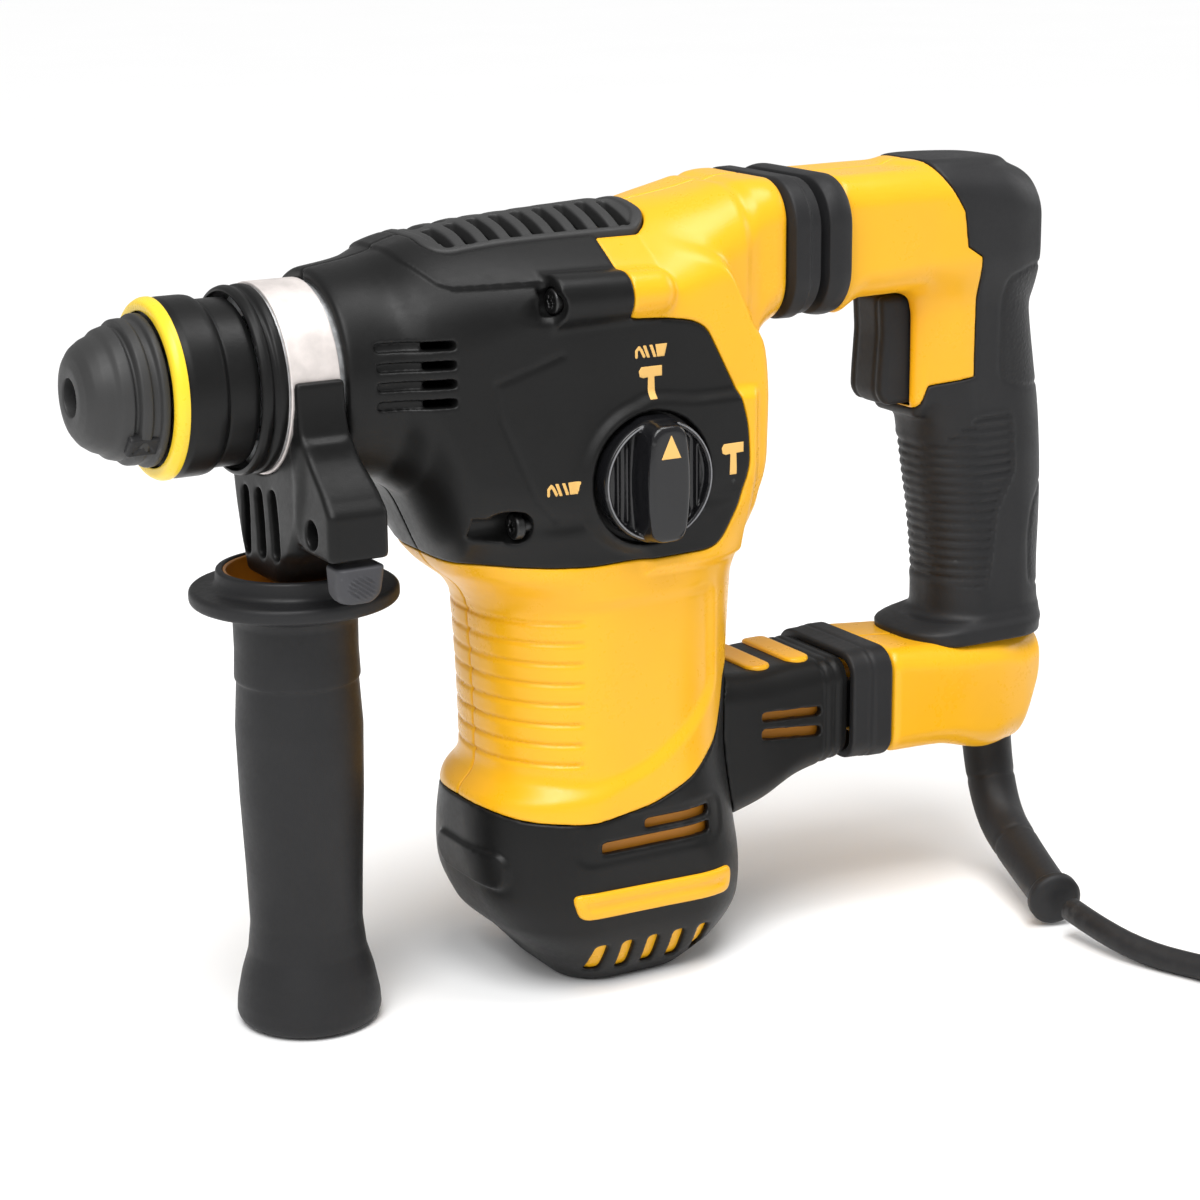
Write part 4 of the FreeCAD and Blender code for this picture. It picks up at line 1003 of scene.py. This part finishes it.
def cap_outside(x, y, z):
    """The motor cap's outside with its front lug and vents."""
    slots, first_slot, pitch, half_slot = 5, 147, 9.2, 2.2
    body = casing(x, y, z)
    lug = cuboid((106, -25, -163), (132, 12, -151.5), 5)(x, y, z)
    body = smooth_min(body, smooth_max(lug, body - 1.6, 0.8), 1.2)
    upper = cuboid((160, -80, -146.3), (184.5, 80, -142.9), 1.2)(x, y, z)
    lower = cuboid((144.8, -80, -152), (184.5, 80, -148.2), 1.2)(x, y, z)
    slope = cuboid((136, -80, -155), (190, 80, -140.5), 5)(x, y, z)
    body = body + 0.5 * ramp(slope, 2)
    body = smooth_max(body, -upper, 0.5)
    body = smooth_max(body, -lower, 0.5)
    for i in range(slots):
        middle = first_slot + pitch * i
        slot = cuboid((middle - half_slot, 6, -194), (middle + half_slot, 80, -183.5), 1.2)(x, np.abs(y), z)
        body = smooth_max(body, -slot, 0.5)
    return body


def make_motor_cap():
    """The black cap, the liners behind its vents (the amber one is painted shade on the yellow inside), and
    the strip on each side.
    """
    def field(x, y, z):
        body = smooth_max(cap_outside(x, y, z), cap_side(x, z) + SEAM, 0.7)
        return np.maximum(body, -(casing(x, y, z) + WALL))

    piece = surface("motor_cap_shell", field, (108, -41, -201), (214, 41, -100), 0.85)
    finish_piece(piece, "housing", "black_plastic", ["motor_end_cap"])

    # The amber liner behind the upper vents is painted shade: a darker yellow standing in for the shaded
    # yellow inside.
    for name, z0, z1, depth, thickness, slot in (
        ("vent_liner", -156, -139, 0.9, 1.2, "amber_plastic"),
        ("foot_liner", -197, -181, -0.5, 1.4, "yellow_plastic"),
    ):
        def liner(x, y, z, z0=z0, z1=z1, depth=depth, thickness=thickness):
            shell = np.abs(casing(x, y, z) + WALL + depth) - thickness / 2
            return np.maximum(shell, cuboid((138, -60, z0), (190, 60, z1), 2)(x, y, z))

        piece = surface(name, liner, (136, -40, z0 - 1), (192, 40, z1 + 1), 0.7)
        finish_piece(piece, "housing", slot)
    outline = polygon(rounded([(134, -163.4), (193, -164.6), (192.4, -173.3), (137.2, -172.4)], 3))

    def strip(x, y, z):
        shape = outline(x, z)
        middle = 0.55 * groove(np.maximum(-2.6 - shape, 0), 0.9) - 0.55
        body = smooth_max(casing(x, y, z) - 1.3 - middle, shape, 1.2)
        return np.maximum(np.maximum(body, -(casing(x, y, z) + 1)), 20 - np.abs(y))

    piece = surface("cap_strips", strip, (132, -42, -175), (194, 42, -161), 0.6)
    finish_piece(piece, "housing", "yellow_plastic", ["cap_trim_strips"])


def make_screws():
    """Housing screws with star recesses, at the bottom of their pockets."""
    pieces = []
    for x, y, z in (UPPER_BOSS, LOWER_SCREW):
        for side in SIDES:
            def field(a, b, c, y=y * side, z=z, front=x):
                head = disc("X", (y, z), 3.9, front, front + 3, 0.8)(a, b, c)
                angle = np.arctan2(c - z, b - y)
                gap = np.hypot(b - y, c - z)
                star = np.maximum(gap - 1.8 - 0.35 * np.cos(6 * angle), a - front - 1.6)
                shank = disc("X", (y, z), 2.2, front + 2, front + 10)(a, b, c)
                return np.minimum(np.maximum(head, -star), shank)

            low = (x, y * side - 4, z - 4)
            pieces.append(surface("screw", field, low, (x + 10, y * side + 4, z + 4), 0.3))
    finish_piece(joined("case_screws", pieces), "housing", "hard_steel", ["housing_screws"], "black_oxide")


# ---------------------------------------------------------------- mode knob and marks

def hammer_mark(a, b):
    """A hammer, head up, about 9 mm tall."""
    head = [(-3.6, 1.6), (-3.9, 3.2), (-3.1, 4.3), (3.4, 4.3), (3.4, 1.4), (1.1, 1.4), (-2.6, 1.2)]
    handle = [(-1, 2), (1, 2), (1.2, -4.6), (-1.2, -4.6)]
    return np.minimum(polygon(head)(a, b), polygon(handle)(a, b))


def drill_mark(a, b):
    """A fluted drill bit lying on its side, about 11 mm long."""
    flutes = polygon([(1.9, -1.9), (4.4, -1.9), (5.4, 1.9), (1.2, 1.9)])(a, b)
    for start in (-3.1, -0.9):
        blade = polygon([(start, 1.9), (start + 1.2, 1.9), (start + 2.6, -1.9), (start + 1.5, -1.9)])
        flutes = np.minimum(flutes, blade(a, b))
    tip = stroke([(-5.2, -1.4), (-5.2, 0.4), (-4.3, 1.4), (-3.6, 0.6), (-2.6, -1.4)])(a, b) - 0.5
    return np.minimum(flutes, tip)


def make_marks():
    """Printed marks for the three modes, in a thin layer on the housing."""
    places = [
        (drill_mark, 131.6, -34.8, 1), (drill_mark, 161.4, 3.4, 1), (hammer_mark, 161.2, -5.8, 1.1),
        (hammer_mark, 188.6, -31.6, 1.1),
    ]
    pieces = []
    for shape, x0, z0, scale in places:
        def field(x, y, z, shape=shape, x0=x0, z0=z0, scale=scale):
            outside = black_outside(x, y, z)
            mark = shape((x - x0) / scale, (z - z0) / scale)
            return np.maximum(np.maximum(outside - 0.12, -(outside + 0.5)), mark)

        pieces.append(surface("mark", field, (x0 - 6, -43.5, z0 - 6), (x0 + 6, -36, z0 + 6), 0.25))
    finish_piece(joined("mode_marks", pieces), "housing", "amber_plastic", finish="pale_mark")


def make_knob():
    """A round knob with a raised bar, ridges at its sides, a thin grey ring painted as the highlight on its
    rim, and a pointer.
    """
    face = -46.4
    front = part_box("mode_knob")[0][1] / MM + 0.2

    def field(x, y, z):
        gap = np.hypot(x - MOTOR, z - KNOB_HEIGHT)
        across = np.abs(x - MOTOR)
        along = np.abs(z - KNOB_HEIGHT)
        body = smooth_max(gap - KNOB_RADIUS, np.maximum(face - y, y + 38.8), 1.4)
        ridges = groove(across - 10.4, 0.6) + groove(across - 13.6, 0.6)
        floor = y - face - 2.4 + 1.3 * ridges * ramp(along - 12, 3)
        body = smooth_max(body, -smooth_max(gap - 16.9, floor, 0.6), 0.6)
        bar = smooth_max(across - 7 + 0.006 * along ** 2, along - 17.4, 4)
        bar = smooth_max(bar - 0.16 * (y - front), np.maximum(front - y, y + 40), 1.8)
        body = smooth_min(body, bar, 0.8)
        spindle = disc("Y", (MOTOR, KNOB_HEIGHT), 6.8, -40, -34)(x, y, z)
        return np.minimum(body, spindle)

    box_low = (MOTOR - 21, front - 1, KNOB_HEIGHT - 21)
    piece = surface("knob_body", field, box_low, (MOTOR + 21, -33, KNOB_HEIGHT + 21), 0.45)
    finish_piece(piece, "knob", "black_plastic", ["mode_knob"], "gloss_black")
    tip = polygon([(-3.4, -3.2), (3.4, -3.2), (0, 4)])

    def pointer(x, y, z):
        return np.maximum(np.maximum(front - 0.12 - y, y - front - 0.6), tip(x - MOTOR, z - KNOB_HEIGHT - 11))

    low_corner = (MOTOR - 5, front - 0.4, KNOB_HEIGHT + 6)
    piece = surface("knob_pointer", pointer, low_corner, (MOTOR + 5, front + 1, KNOB_HEIGHT + 16), 0.2)
    finish_piece(piece, "knob", "amber_plastic", finish="pale_mark")
    # A thin grey ring on the knob's front edge: a painted highlight where the rim catches the light.
    ring = turned("knob_rim_line", [(-0.3, 17.6), (-0.3, 18), (0.1, 18), (0.1, 17.6)], "X", (0, 0, 0), 0.1)
    turn = Matrix.Translation(Vector((MOTOR, face, KNOB_HEIGHT)) * MM) @ Matrix.Rotation(math.pi / 2, 4, "Z")
    ring.data.transform(turn)
    finish_piece(ring, "knob", "grey_plastic")


# ---------------------------------------------------------------- front end

def make_nose():
    """Dust cap, sleeve, yellow ring and collar lip, all turned."""
    centre = (0, 0, 0)
    cap = turned("dust_cap_rubber", [
        (-3.9, 5.5), (0, 5.5), (0, 9.3), (2, 10.7), (17.9, 10.7), (17.9, 21.9), (15.8, 21.9), (15.2, 20.2),
        (13.4, 20), (13, 20.9), (10.2, 20.7), (9.7, 18.4), (8.9, 18.3), (8.3, 19.2), (5.4, 18.4), (4, 17),
        (1.4, 16), (-1.2, 14.2), (-3, 11.8), (-3.9, 8.6),
    ], "X", centre, 0.6)
    finish_piece(cap, "spindle", "soft_black", ["dust_cap"], "grey_rubber")
    sleeve = turned("sleeve_shell", [
        (19.1, 23.4), (20.6, 23.4), (20.6, 14.7), (28, 11.7), (31, 11.7), (31, 16.5), (43.9, 22.5),
        (43.9, 23.8), (42.6, 24.2), (35.2, 24.2), (34.6, 24), (33, 25.6), (31.2, 25.9), (24, 25.9),
        (22.2, 25.2), (19.1, 25.1),
    ], "X", centre, 0.6)
    finish_piece(sleeve, "sleeve", "black_plastic", ["locking_sleeve"])
    ring = turned("front_ring", [
        (18.3, 22.3), (19.05, 22.3), (19.05, 25.25), (21.9, 25.7), (21.9, 26.2), (20.2, 26.1), (18.7, 25.2),
        (18.3, 24.2),
    ], "X", centre, 0.5)
    # The ring gets a lighter copy of its yellow as a painted highlight.
    finish_piece(ring, "sleeve", "yellow_plastic", ["sleeve_ring"], "highlit_yellow_plastic")
    lip = turned("collar_shell", [
        (43.1, 25.8), (50.9, 25.8), (50.9, 27.3), (49.6, 27.5), (48.6, 27.4), (47.8, 26.6), (46.8, 26.5),
        (46.1, 27.3), (45, 27.5), (43.6, 27.1), (43.1, 26.4),
    ], "X", centre, 0.35)
    finish_piece(lip, "housing", "black_plastic", ["collar_lip"])
    plate_angle = math.radians(230)

    def plate(x, y, z):
        along = x - 11.8
        out = y * math.sin(plate_angle) + z * math.cos(plate_angle)
        side = y * math.cos(plate_angle) - z * math.sin(plate_angle)
        body = cuboid((-5, -3.6, 12), (4.6, 3.6, 20.8), 0.8)(along, side, out)
        arrow = stroke([(-3, -1.6), (-0.6, 1.8), (2, -1.6)])(along, side)
        return smooth_max(body, -np.maximum(arrow - 0.4, 20.3 - out), 0.3)

    piece = surface("dust_cap_plate", plate, (5, -24, -24), (18, 0, 0), 0.35)
    finish_piece(piece, "spindle", "soft_black")


# ---------------------------------------------------------------- side handle

ROD_HOLE = (-36, -39.3)


def clamp_shape(x, y, z):
    """Saddle under the band, grooved in front, with the depth-rod block at its left."""
    gap = np.hypot(y, z)
    saddle = loft("Z", [
        (-59.5, GRIP_AXIS - 0.4, 0, 10, 14, 6), (-52, GRIP_AXIS - 1.4, -2, 9.6, 17.5, 6),
        (-47, 59.6, -4, 8.4, 21, 5), (-36, 59.4, -5, 7.8, 25, 4), (-24, 59.3, -5.5, 7.6, 27.5, 4),
        (-14, 59.2, -6, 7.4, 28.6, 4),
    ], 2)(x, y, z)
    for top, bottom in (((9.8, -36), (8.3, -51)), ((0, -35), (-2.9, -50)), ((-10, -34), (-13, -49))):
        channel = stroke([top, bottom])(y, z) - 2.6
        saddle = smooth_max(saddle, -np.maximum(channel, x - 54.6), 1)
    block = loft("Z", [
        (-45.3, 61.5, -37.5, 9.3, 11.3, 2.5), (-33, 61.5, -37.5, 9.3, 11.3, 2.5),
        (-28, 61.3, -36, 9, 9.5, 2.5), (-18, 60, -31, 8, 5.5, 2), (-11, 59.3, -29, 7.6, 3.2, 1.5),
        (-4, 59.3, -28.4, 7.4, 2.4, 1.2), (3, 59.3, -28.2, 7.4, 2.1, 1),
    ], 1.5)(x, y, z)
    return smooth_max(smooth_min(saddle, block, 3), 28.05 - gap, 0.4)


def make_side_handle():
    """Band, clamp block, release tab, cup with its liner, and the grip."""
    band = turned("band_steel", [
        (51.4, 27.0), (66.6, 27.0), (66.6, 27.9), (65.9, 27.95), (52.1, 27.95), (51.4, 27.9),
    ], "X", (0, 0, 0), 0.3, 192)
    finish_piece(band, "handle_mount", "bright_steel", ["clamp_band"], "satin_band")

    def block(x, y, z):
        body = clamp_shape(x, y, z)
        rod = disc("X", ROD_HOLE, 4.1, 40, 90)(x, y, z)
        body = smooth_max(body, -rod, 0.6)
        bolt = np.hypot(x - GRIP_AXIS, y) - 4.05
        body = np.maximum(body, -bolt)
        notch = cuboid((50, -30.2, -48.4), (56, -26.4, -44), 1.2)(x, y, z)
        return smooth_max(body, -notch, 0.5)

    piece = surface("clamp_body", block, (50, -50, -60.5), (72.5, 25, 4), 0.55)
    finish_piece(piece, "handle_mount", "black_plastic", ["clamp_block"])

    def tab(x, y, z):
        body = loft("Z", [
            (-57.4, 60.6, -44.8, 5, 4.8, 3.6), (-54.5, 61.2, -44.3, 6.8, 5.9, 4),
            (-47.2, 61.8, -43.8, 7.5, 5.6, 3),
        ], 1)(x, y, z)
        pad = np.hypot((x - 61) / 1.3, z + 52.6) - 3.4
        ridges = 0.3 * np.cos((z + 0.7 * x) * 2 * math.pi / 1.4)
        return body - ramp(pad, 0.6) * (0.1 + ridges) * ramp(y + 46, 1)

    piece = surface("release_button", tab, (53, -52, -58.5), (70, -37, -46), 0.3)
    finish_piece(piece, "release_tab", "grey_plastic", ["depth_release"], "carbon")
    low = FLOOR + 0.15
    grip = turned("grip_rubber", [
        (-120, 0), (-120, 4.2), (-69, 4.2), (-69, 19.4), (-57, 20.9), (-56.7, 21.6), (-57, 22.9),
        (-58.2, 23.1), (-61.4, 23.3), (-62.4, 24.4), (-62.6, 30.3), (-63.6, 31.2), (-66.4, 31.2),
        (-67.4, 30.2), (-68.4, 24), (-70.6, 19.6), (-73, 18.6), (-82, 18.5), (-90.6, 18.9), (-91.4, 18.3),
        (-106, 19.2), (-128, 18.7), (-150, 17.7), (-168, 17.1), (-177, 18.1), (-184, 20.2), (-192, 21.8),
        (-196.4, 22.1), (-198.6, 21.2), (low, 18.6), (low, 0),
    ], "Z", (GRIP_AXIS, 0, 0), 0.9, 160)
    finish_piece(grip, "hand_grip", "soft_black", ["side_grip"])
    liner = turned("cup_liner", [
        (-68.6, 4.3), (-68.6, 19.3), (-57.2, 20.8), (-57.5, 19.9), (-67.6, 18.4), (-67.6, 4.3),
    ], "Z", (GRIP_AXIS, 0, 0), 0.3)
    finish_piece(liner, "hand_grip", "amber_plastic")


# ---------------------------------------------------------------- rear handle

ARM = [
    (241.5, 0, 25, 24, 22, 10),
    (252, 0, 27.5, 24, 19.5, 10),
    (285, 0, 27.7, 22.5, 19.8, 11),
    (306, 0, 26.5, 20.5, 20.5, 13),
    (322, 0, 24, 18, 19.5, 15),
]
GRIP = [
    (-109, 312.8, 0, 21.6, 18, 16),
    (-93, 312.2, 0, 21.4, 17.5, 16),
    (-71, 311.2, 0, 22.6, 17.5, 16),
    (-54, 309.6, 0, 23.8, 17.6, 16),
    (-36, 307.4, 0, 24.4, 17.8, 16),
    (-20, 304.2, 0, 25, 18, 16),
    (0, 301.2, 0, 24.6, 18.8, 16),
    (15, 300, 0, 25, 19, 16),
    (30, 299.6, 0, 25.2, 19, 16),
    (40, 297.8, 0, 22.8, 16.5, 14),
    (46, 295.5, 0, 17.5, 12, 11),
]
BASE = [
    (263.8, 0, -126.6, 23.5, 17.8, 7),
    (285, 0, -128, 23.5, 17.5, 8),
    (308, 0, -131, 22, 19.5, 9),
    (320, 0, -131, 20, 19.5, 12),
    (330.5, 0, -122, 16, 10, 9),
]
RUBBER_SIDE = [
    (270, 70), (282, 44), (288.4, 33.4), (289.9, 22), (296, 18.3), (297.3, -21.7), (281.5, -23.8),
    (279, -30), (275, -34.5), (262, -36), (262, -106.8), (350, -106.8), (350, 70),
]
REAR_PATCH = [
    (319.6, 13.7), (308.2, 10.3), (306.9, 2.2), (307.7, -22.7), (310.7, -24.7), (319, -27.2), (350, -27),
    (350, 14),
]
SIDE_PATCH = [
    (312.8, -34.5), (298.5, -34.6), (288.6, -43.5), (268.6, -42.2), (270, -91), (281.9, -91.6),
    (304.6, -94.8), (306.3, -84.7), (307.8, -67.7), (314.8, -55),
]
LOWER_PATCH = [
    (329.8, -60.5), (323.7, -67.7), (322, -77.9), (323, -93.7), (326.9, -96.7), (350, -96), (350, -61),
]

arm_part, grip_part, base_part = loft("X", ARM, 2.5), loft("Z", GRIP, 3), loft("X", BASE, 3)
rubber_side = polygon(RUBBER_SIDE)
rear_patch = polygon(rounded(REAR_PATCH, 3))
side_patch = polygon(rounded(SIDE_PATCH, 3))
lower_patch = polygon(rounded(LOWER_PATCH, 3))


def handle_outside(x, y, z):
    """The smooth outside of the whole rear handle."""
    lip = cuboid((278, -11.5, -34.6), (292, 11.5, -30.4), 2.1)(x, y, z)
    cheeks = cuboid((276.3, -14.5, -33), (300, 14.5, 7), 5)(x, y, z)
    grip = smooth_min(grip_part(x, y, z), smooth_min(lip, cheeks, 2), 4)
    body = smooth_min(arm_part(x, y, z), grip, 9)
    outlet = disc("Z", (319.2, 0), 11, -149.2, -120, 1.5)(x, y, z)
    return smooth_min(body, smooth_min(base_part(x, y, z), outlet, 3), 5)


def trigger_space(x, y, z):
    """The opening in the handle's front that the trigger moves in."""
    return cuboid((240, -10.2, -30.4), (300, 10.2, 6.4), 1.5)(x, y, z)


def make_rear_handle():
    """Two yellow shells, the rubber skin with its textured patches and flange, and the trigger."""
    def yellow(x, y, z):
        outside = handle_outside(x, y, z)
        edge = rubber_side(x, z)
        body = smooth_max(outside, SEAM - edge, 0.7)
        body = np.maximum(body, -smooth_max(outside + WALL, edge - 6, 1))
        lug = disc("Y", (PIN_X, PIN_Z), 8, -9, 9, 0.8)(x, y, z)
        lug = np.minimum(lug, cuboid((PIN_X, -9, PIN_Z - 8), (272, 9, PIN_Z + 8), 0.5)(x, y, z))
        pin = np.hypot(x - PIN_X, z - PIN_Z) - (PIN_RADIUS + 0.1)
        body = np.maximum(smooth_min(body, lug, 1), -pin)
        body = smooth_max(body, -trigger_space(x, y, z), 0.6)
        return np.maximum(body, -np.maximum(np.hypot(x - 319.6, y) - 7.2, z + 140))

    for side, name in zip(SIDES, ("left", "right")):
        def half(x, y, z, side=side):
            return smooth_max(yellow(x, y, z), SEAM - side * y, 0.5)

        y0, y1 = (-26, 0) if side < 0 else (0, 26)
        boxes = {"upper": ((240, y0, -38), (300, y1, 50)), "lower": ((246, y0, -151), (332, y1, -106))}
        for part, (low, high) in boxes.items():
            piece = surface(f"handle_{name}_{part}", half, low, high, 0.7)
            nodes = [f"handle_{name}"] if part == "upper" else []
            finish_piece(piece, "rear_handle", "yellow_plastic", nodes)

    def rubber(x, y, z):
        outside = handle_outside(x, y, z)
        flange = loft("Z", [
            (-112.4, 306, 0, 27.5, 21.3, 17), (-108, 306, 0, 27.2, 21, 17), (-105, 308.5, 0, 24, 18.6, 16),
        ], 1.5)(x, y, z)
        body = smooth_max(outside - 0.15, rubber_side(x, z) + SEAM, 0.7)
        ribs = 0.5 - 0.5 * np.cos((z + 34.5) * 2 * math.pi / 3.2)
        ribs = 0.75 * ribs ** 2 * ramp(side_patch(x, z), 1) - 0.35 * groove(side_patch(x, z), 0.7)
        for patch in (rear_patch, lower_patch):
            body = body + 0.5 * groove(patch(x, z), 0.8)
        body = smooth_min(body + ribs, flange, 4)
        body = smooth_max(body, -112.3 - z, 0.6)
        inner = smooth_max(outside + 3.4, np.maximum(rubber_side(x, z) + 2.6, -z - 112), 1)
        body = np.maximum(body, -np.maximum(inner, -z - 111))
        return smooth_max(body, -trigger_space(x, y, z), 0.6)

    def grain(x, y, z):
        return ramp(rear_patch(x, z), 1) + ramp(lower_patch(x, z), 1)

    piece = surface("grip_skin", rubber, (262, -22, -114), (335, 22, 50), 0.75, grain)
    finish_piece(piece, "rear_handle", "soft_black", ["grip_overmould", "grip_flange"])

    def trigger(x, y, z):
        side = polygon(rounded([
            (266.3, 5.6), (267, -6), (266, -20), (265.8, -26), (268.5, -29.9), (288, -29.9), (288, 5.9),
            (270, 6.1),
        ], 2))(x, z)
        body = smooth_max(side, np.abs(y) - 9.4, 3)
        return body + 0.5 * groove(np.abs(y) - 5.5, 0.9) * ramp(x - 270, 2)

    piece = surface("trigger_paddle", trigger, (264, -11, -32), (290, 11, 8), 0.5)
    finish_piece(piece, "trigger", "soft_black", ["trigger"])


# ---------------------------------------------------------------- bridge, cuff and bellows

BRIDGE = [
    (196, 0, -133, 23, 25, 9),
    (214, 0, -131.5, 22.5, 22, 9),
    (230, 0, -128, 21.5, 19, 9),
    (247, 0, -126.2, 21, 17.3, 8),
]
bridge_part = loft("X", BRIDGE, 1)


def make_bridge():
    """The arm from the motor cap to the handle joint, with its amber liner of painted shade behind the vents,
    pads and rubber cuff.
    """
    def field(x, y, z):
        outside = bridge_part(x, y, z)
        ridges = 0
        for i in range(3):
            ridges = ridges + groove(x - 238.5 - 3.6 * i, 0.8)
        body = outside + 0.55 * ridges
        side = cuboid((212.8, -60, -125.6), (236.4, 60, -122.4), 1.3)(x, y, z + 0.08 * (x - 224))
        lower = cuboid((212.8, -60, -132), (236.4, 60, -128.4), 1.3)(x, y, z + 0.12 * (x - 224))
        body = smooth_max(body, -side, 0.5)
        body = smooth_max(body, -lower, 0.5)
        inner = smooth_max(outside + WALL, x - 249, 0.5)
        body = np.maximum(body, -np.maximum(inner, x - 243.5))
        for y0 in (-17, 12):
            ear = cuboid((243, y0, PIN_Z - 8), (PIN_X, y0 + 5, PIN_Z + 8), 0.6)(x, y, z)
            ear = np.minimum(ear, disc("Y", (PIN_X, PIN_Z), 8, y0, y0 + 5, 0.6)(x, y, z))
            body = smooth_min(body, ear, 0.8)
        body = np.maximum(body, PIN_RADIUS + 0.05 - np.hypot(x - PIN_X, z - PIN_Z))
        return np.maximum(body, -(casing(x, y, z) - 0.1))

    piece = surface("bridge_shell", field, (194, -25, -160), (264, 25, -106), 0.75)
    finish_piece(piece, "housing", "black_plastic", ["rear_bridge"])

    # The amber liner is painted shade: a darker yellow standing in for the shaded yellow inside the bridge's
    # vents.
    def liner(x, y, z):
        shell = np.abs(bridge_part(x, y, z) + WALL + 0.9) - 0.6
        return np.maximum(shell, cuboid((209, -60, -137), (239, 60, -118), 2)(x, y, z))

    piece = surface("bridge_liner", liner, (208, -25, -138), (240, 25, -117), 0.7)
    finish_piece(piece, "housing", "amber_plastic")

    def insert(x, y, z):
        outside = bridge_part(x, y, z)
        pads = None
        for x0 in (213, 228):
            pad = cuboid((x0, -15, -100), (x0 + 9, 17, 100), 4.2)(x, y, 0 * z)
            pads = pad if pads is None else np.minimum(pads, pad)
        body = smooth_max(outside - 1.15, pads, 1.2)
        return np.maximum(np.maximum(body, -(outside + 1)), -z - 118)

    piece = surface("bridge_pads", insert, (211, -18, -118), (239, 20, -102), 0.5)
    finish_piece(piece, "housing", "yellow_plastic", ["bridge_inserts"])
    cuff_part = loft("X", [
        (248, 0, -126, 22.8, 18.3, 8), (254, 0, -126.1, 23, 18.5, 8), (254.8, 0, -126.1, 23.4, 18.8, 8),
        (263, 0, -126.3, 23.5, 18.8, 8),
    ], 0.8)

    def cuff(x, y, z):
        outside = cuff_part(x, y, z) + 0.5 * groove(x - 255.5, 0.7)
        inside = loft("X", [(240, 0, -126, 19.8, 15.3, 5), (270, 0, -126.3, 20.5, 15.8, 5)], 0.5)(x, y, z)
        return np.maximum(outside, -inside)

    piece = surface("cuff_rubber", cuff, (247, -25, -146), (264, 25, -106), 0.6)
    finish_piece(piece, "housing", "soft_black", ["handle_cuff"])


def make_bellows():
    """Two folds of rubber, one fixed piece in place of the CAD bellows."""
    low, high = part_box("bellows")
    start, end = low[0] / MM, high[0] / MM
    outer = [
        (start, 0, 26.5, 27, 19.5, 13), (start + 0.5, 0, 26.4, 28, 20.5, 14),
        (start + 1.6, 0, 26.3, 29.8, 22.1, 15), (start + 6.4, 0, 26.3, 29.9, 22.2, 15),
        (start + 7.2, 0, 26.3, 29.2, 21.5, 15), (start + 10.8, 0, 26.3, 29, 21.3, 15),
        (start + 11.8, 0, 26.3, 25.4, 18.2, 13), (start + 13, 0, 26.3, 25.4, 18.2, 13),
        (start + 14.1, 0, 26.3, 29.2, 21.6, 15), (start + 18, 0, 26.3, 29.9, 22.2, 15),
        (end - 1.2, 0, 26.3, 29.4, 21.6, 15), (end, 0, 26.3, 26.5, 20, 13),
    ]
    skin = loft("X", outer, 0.6)
    hollow = loft("X", [(start - 6, 0, 26.3, 22.5, 16, 11), (end + 6, 0, 26.3, 22.5, 16, 11)], 0.6)

    def field(x, y, z):
        return np.maximum(skin(x, y, z), -hollow(x, y, z))

    piece = surface("bellows_rubber", field, (start, -31, 3), (end, 31, 49), 0.55)
    piece.data.materials.append(FINISHES["soft_black"])
    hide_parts("bellows")
    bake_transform(piece)


def make_springs():
    """The springs of the locking sleeve and of the damped handle each get a mesh of their own."""
    for name, joint, fixed_end, keep in (
        ("sleeve_spring", "sleeve_slide", 1, 0.46),
        ("damper_spring", "rear_handle_damping", 0, 0.76),
    ):
        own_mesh(bpy.data.objects[name])


# ---------------------------------------------------------------- making it

FINISHES = make_materials()


def finish_cad_nodes():
    """Every CAD node gets the finish of its own material slot."""
    for part in frame["record"]["subparts"]:
        node = bpy.data.objects[part["node"]]
        node.data.materials.clear()
        node.data.materials.append(FINISHES[part["material_slot"]])


def make_floor():
    """The plain pale floor that the tool stands on."""
    half = 16.0
    level = FLOOR * MM
    corners = [(-half, -half, level), (half, -half, level), (half, half, level), (-half, half, level)]
    floor = mesh_object("floor", corners, [(0, 1, 2, 3)])
    floor.data.materials.append(floor_paint())


make_camera()
make_lights()
make_floor()
make_cord()
make_boot()
finish_cad_nodes()
make_gear_housing()
make_main_housing()
make_vent_insert()
make_motor_cap()
make_screws()
make_marks()
make_knob()
make_nose()
make_side_handle()
make_rear_handle()
make_bridge()
make_bellows()
make_springs()
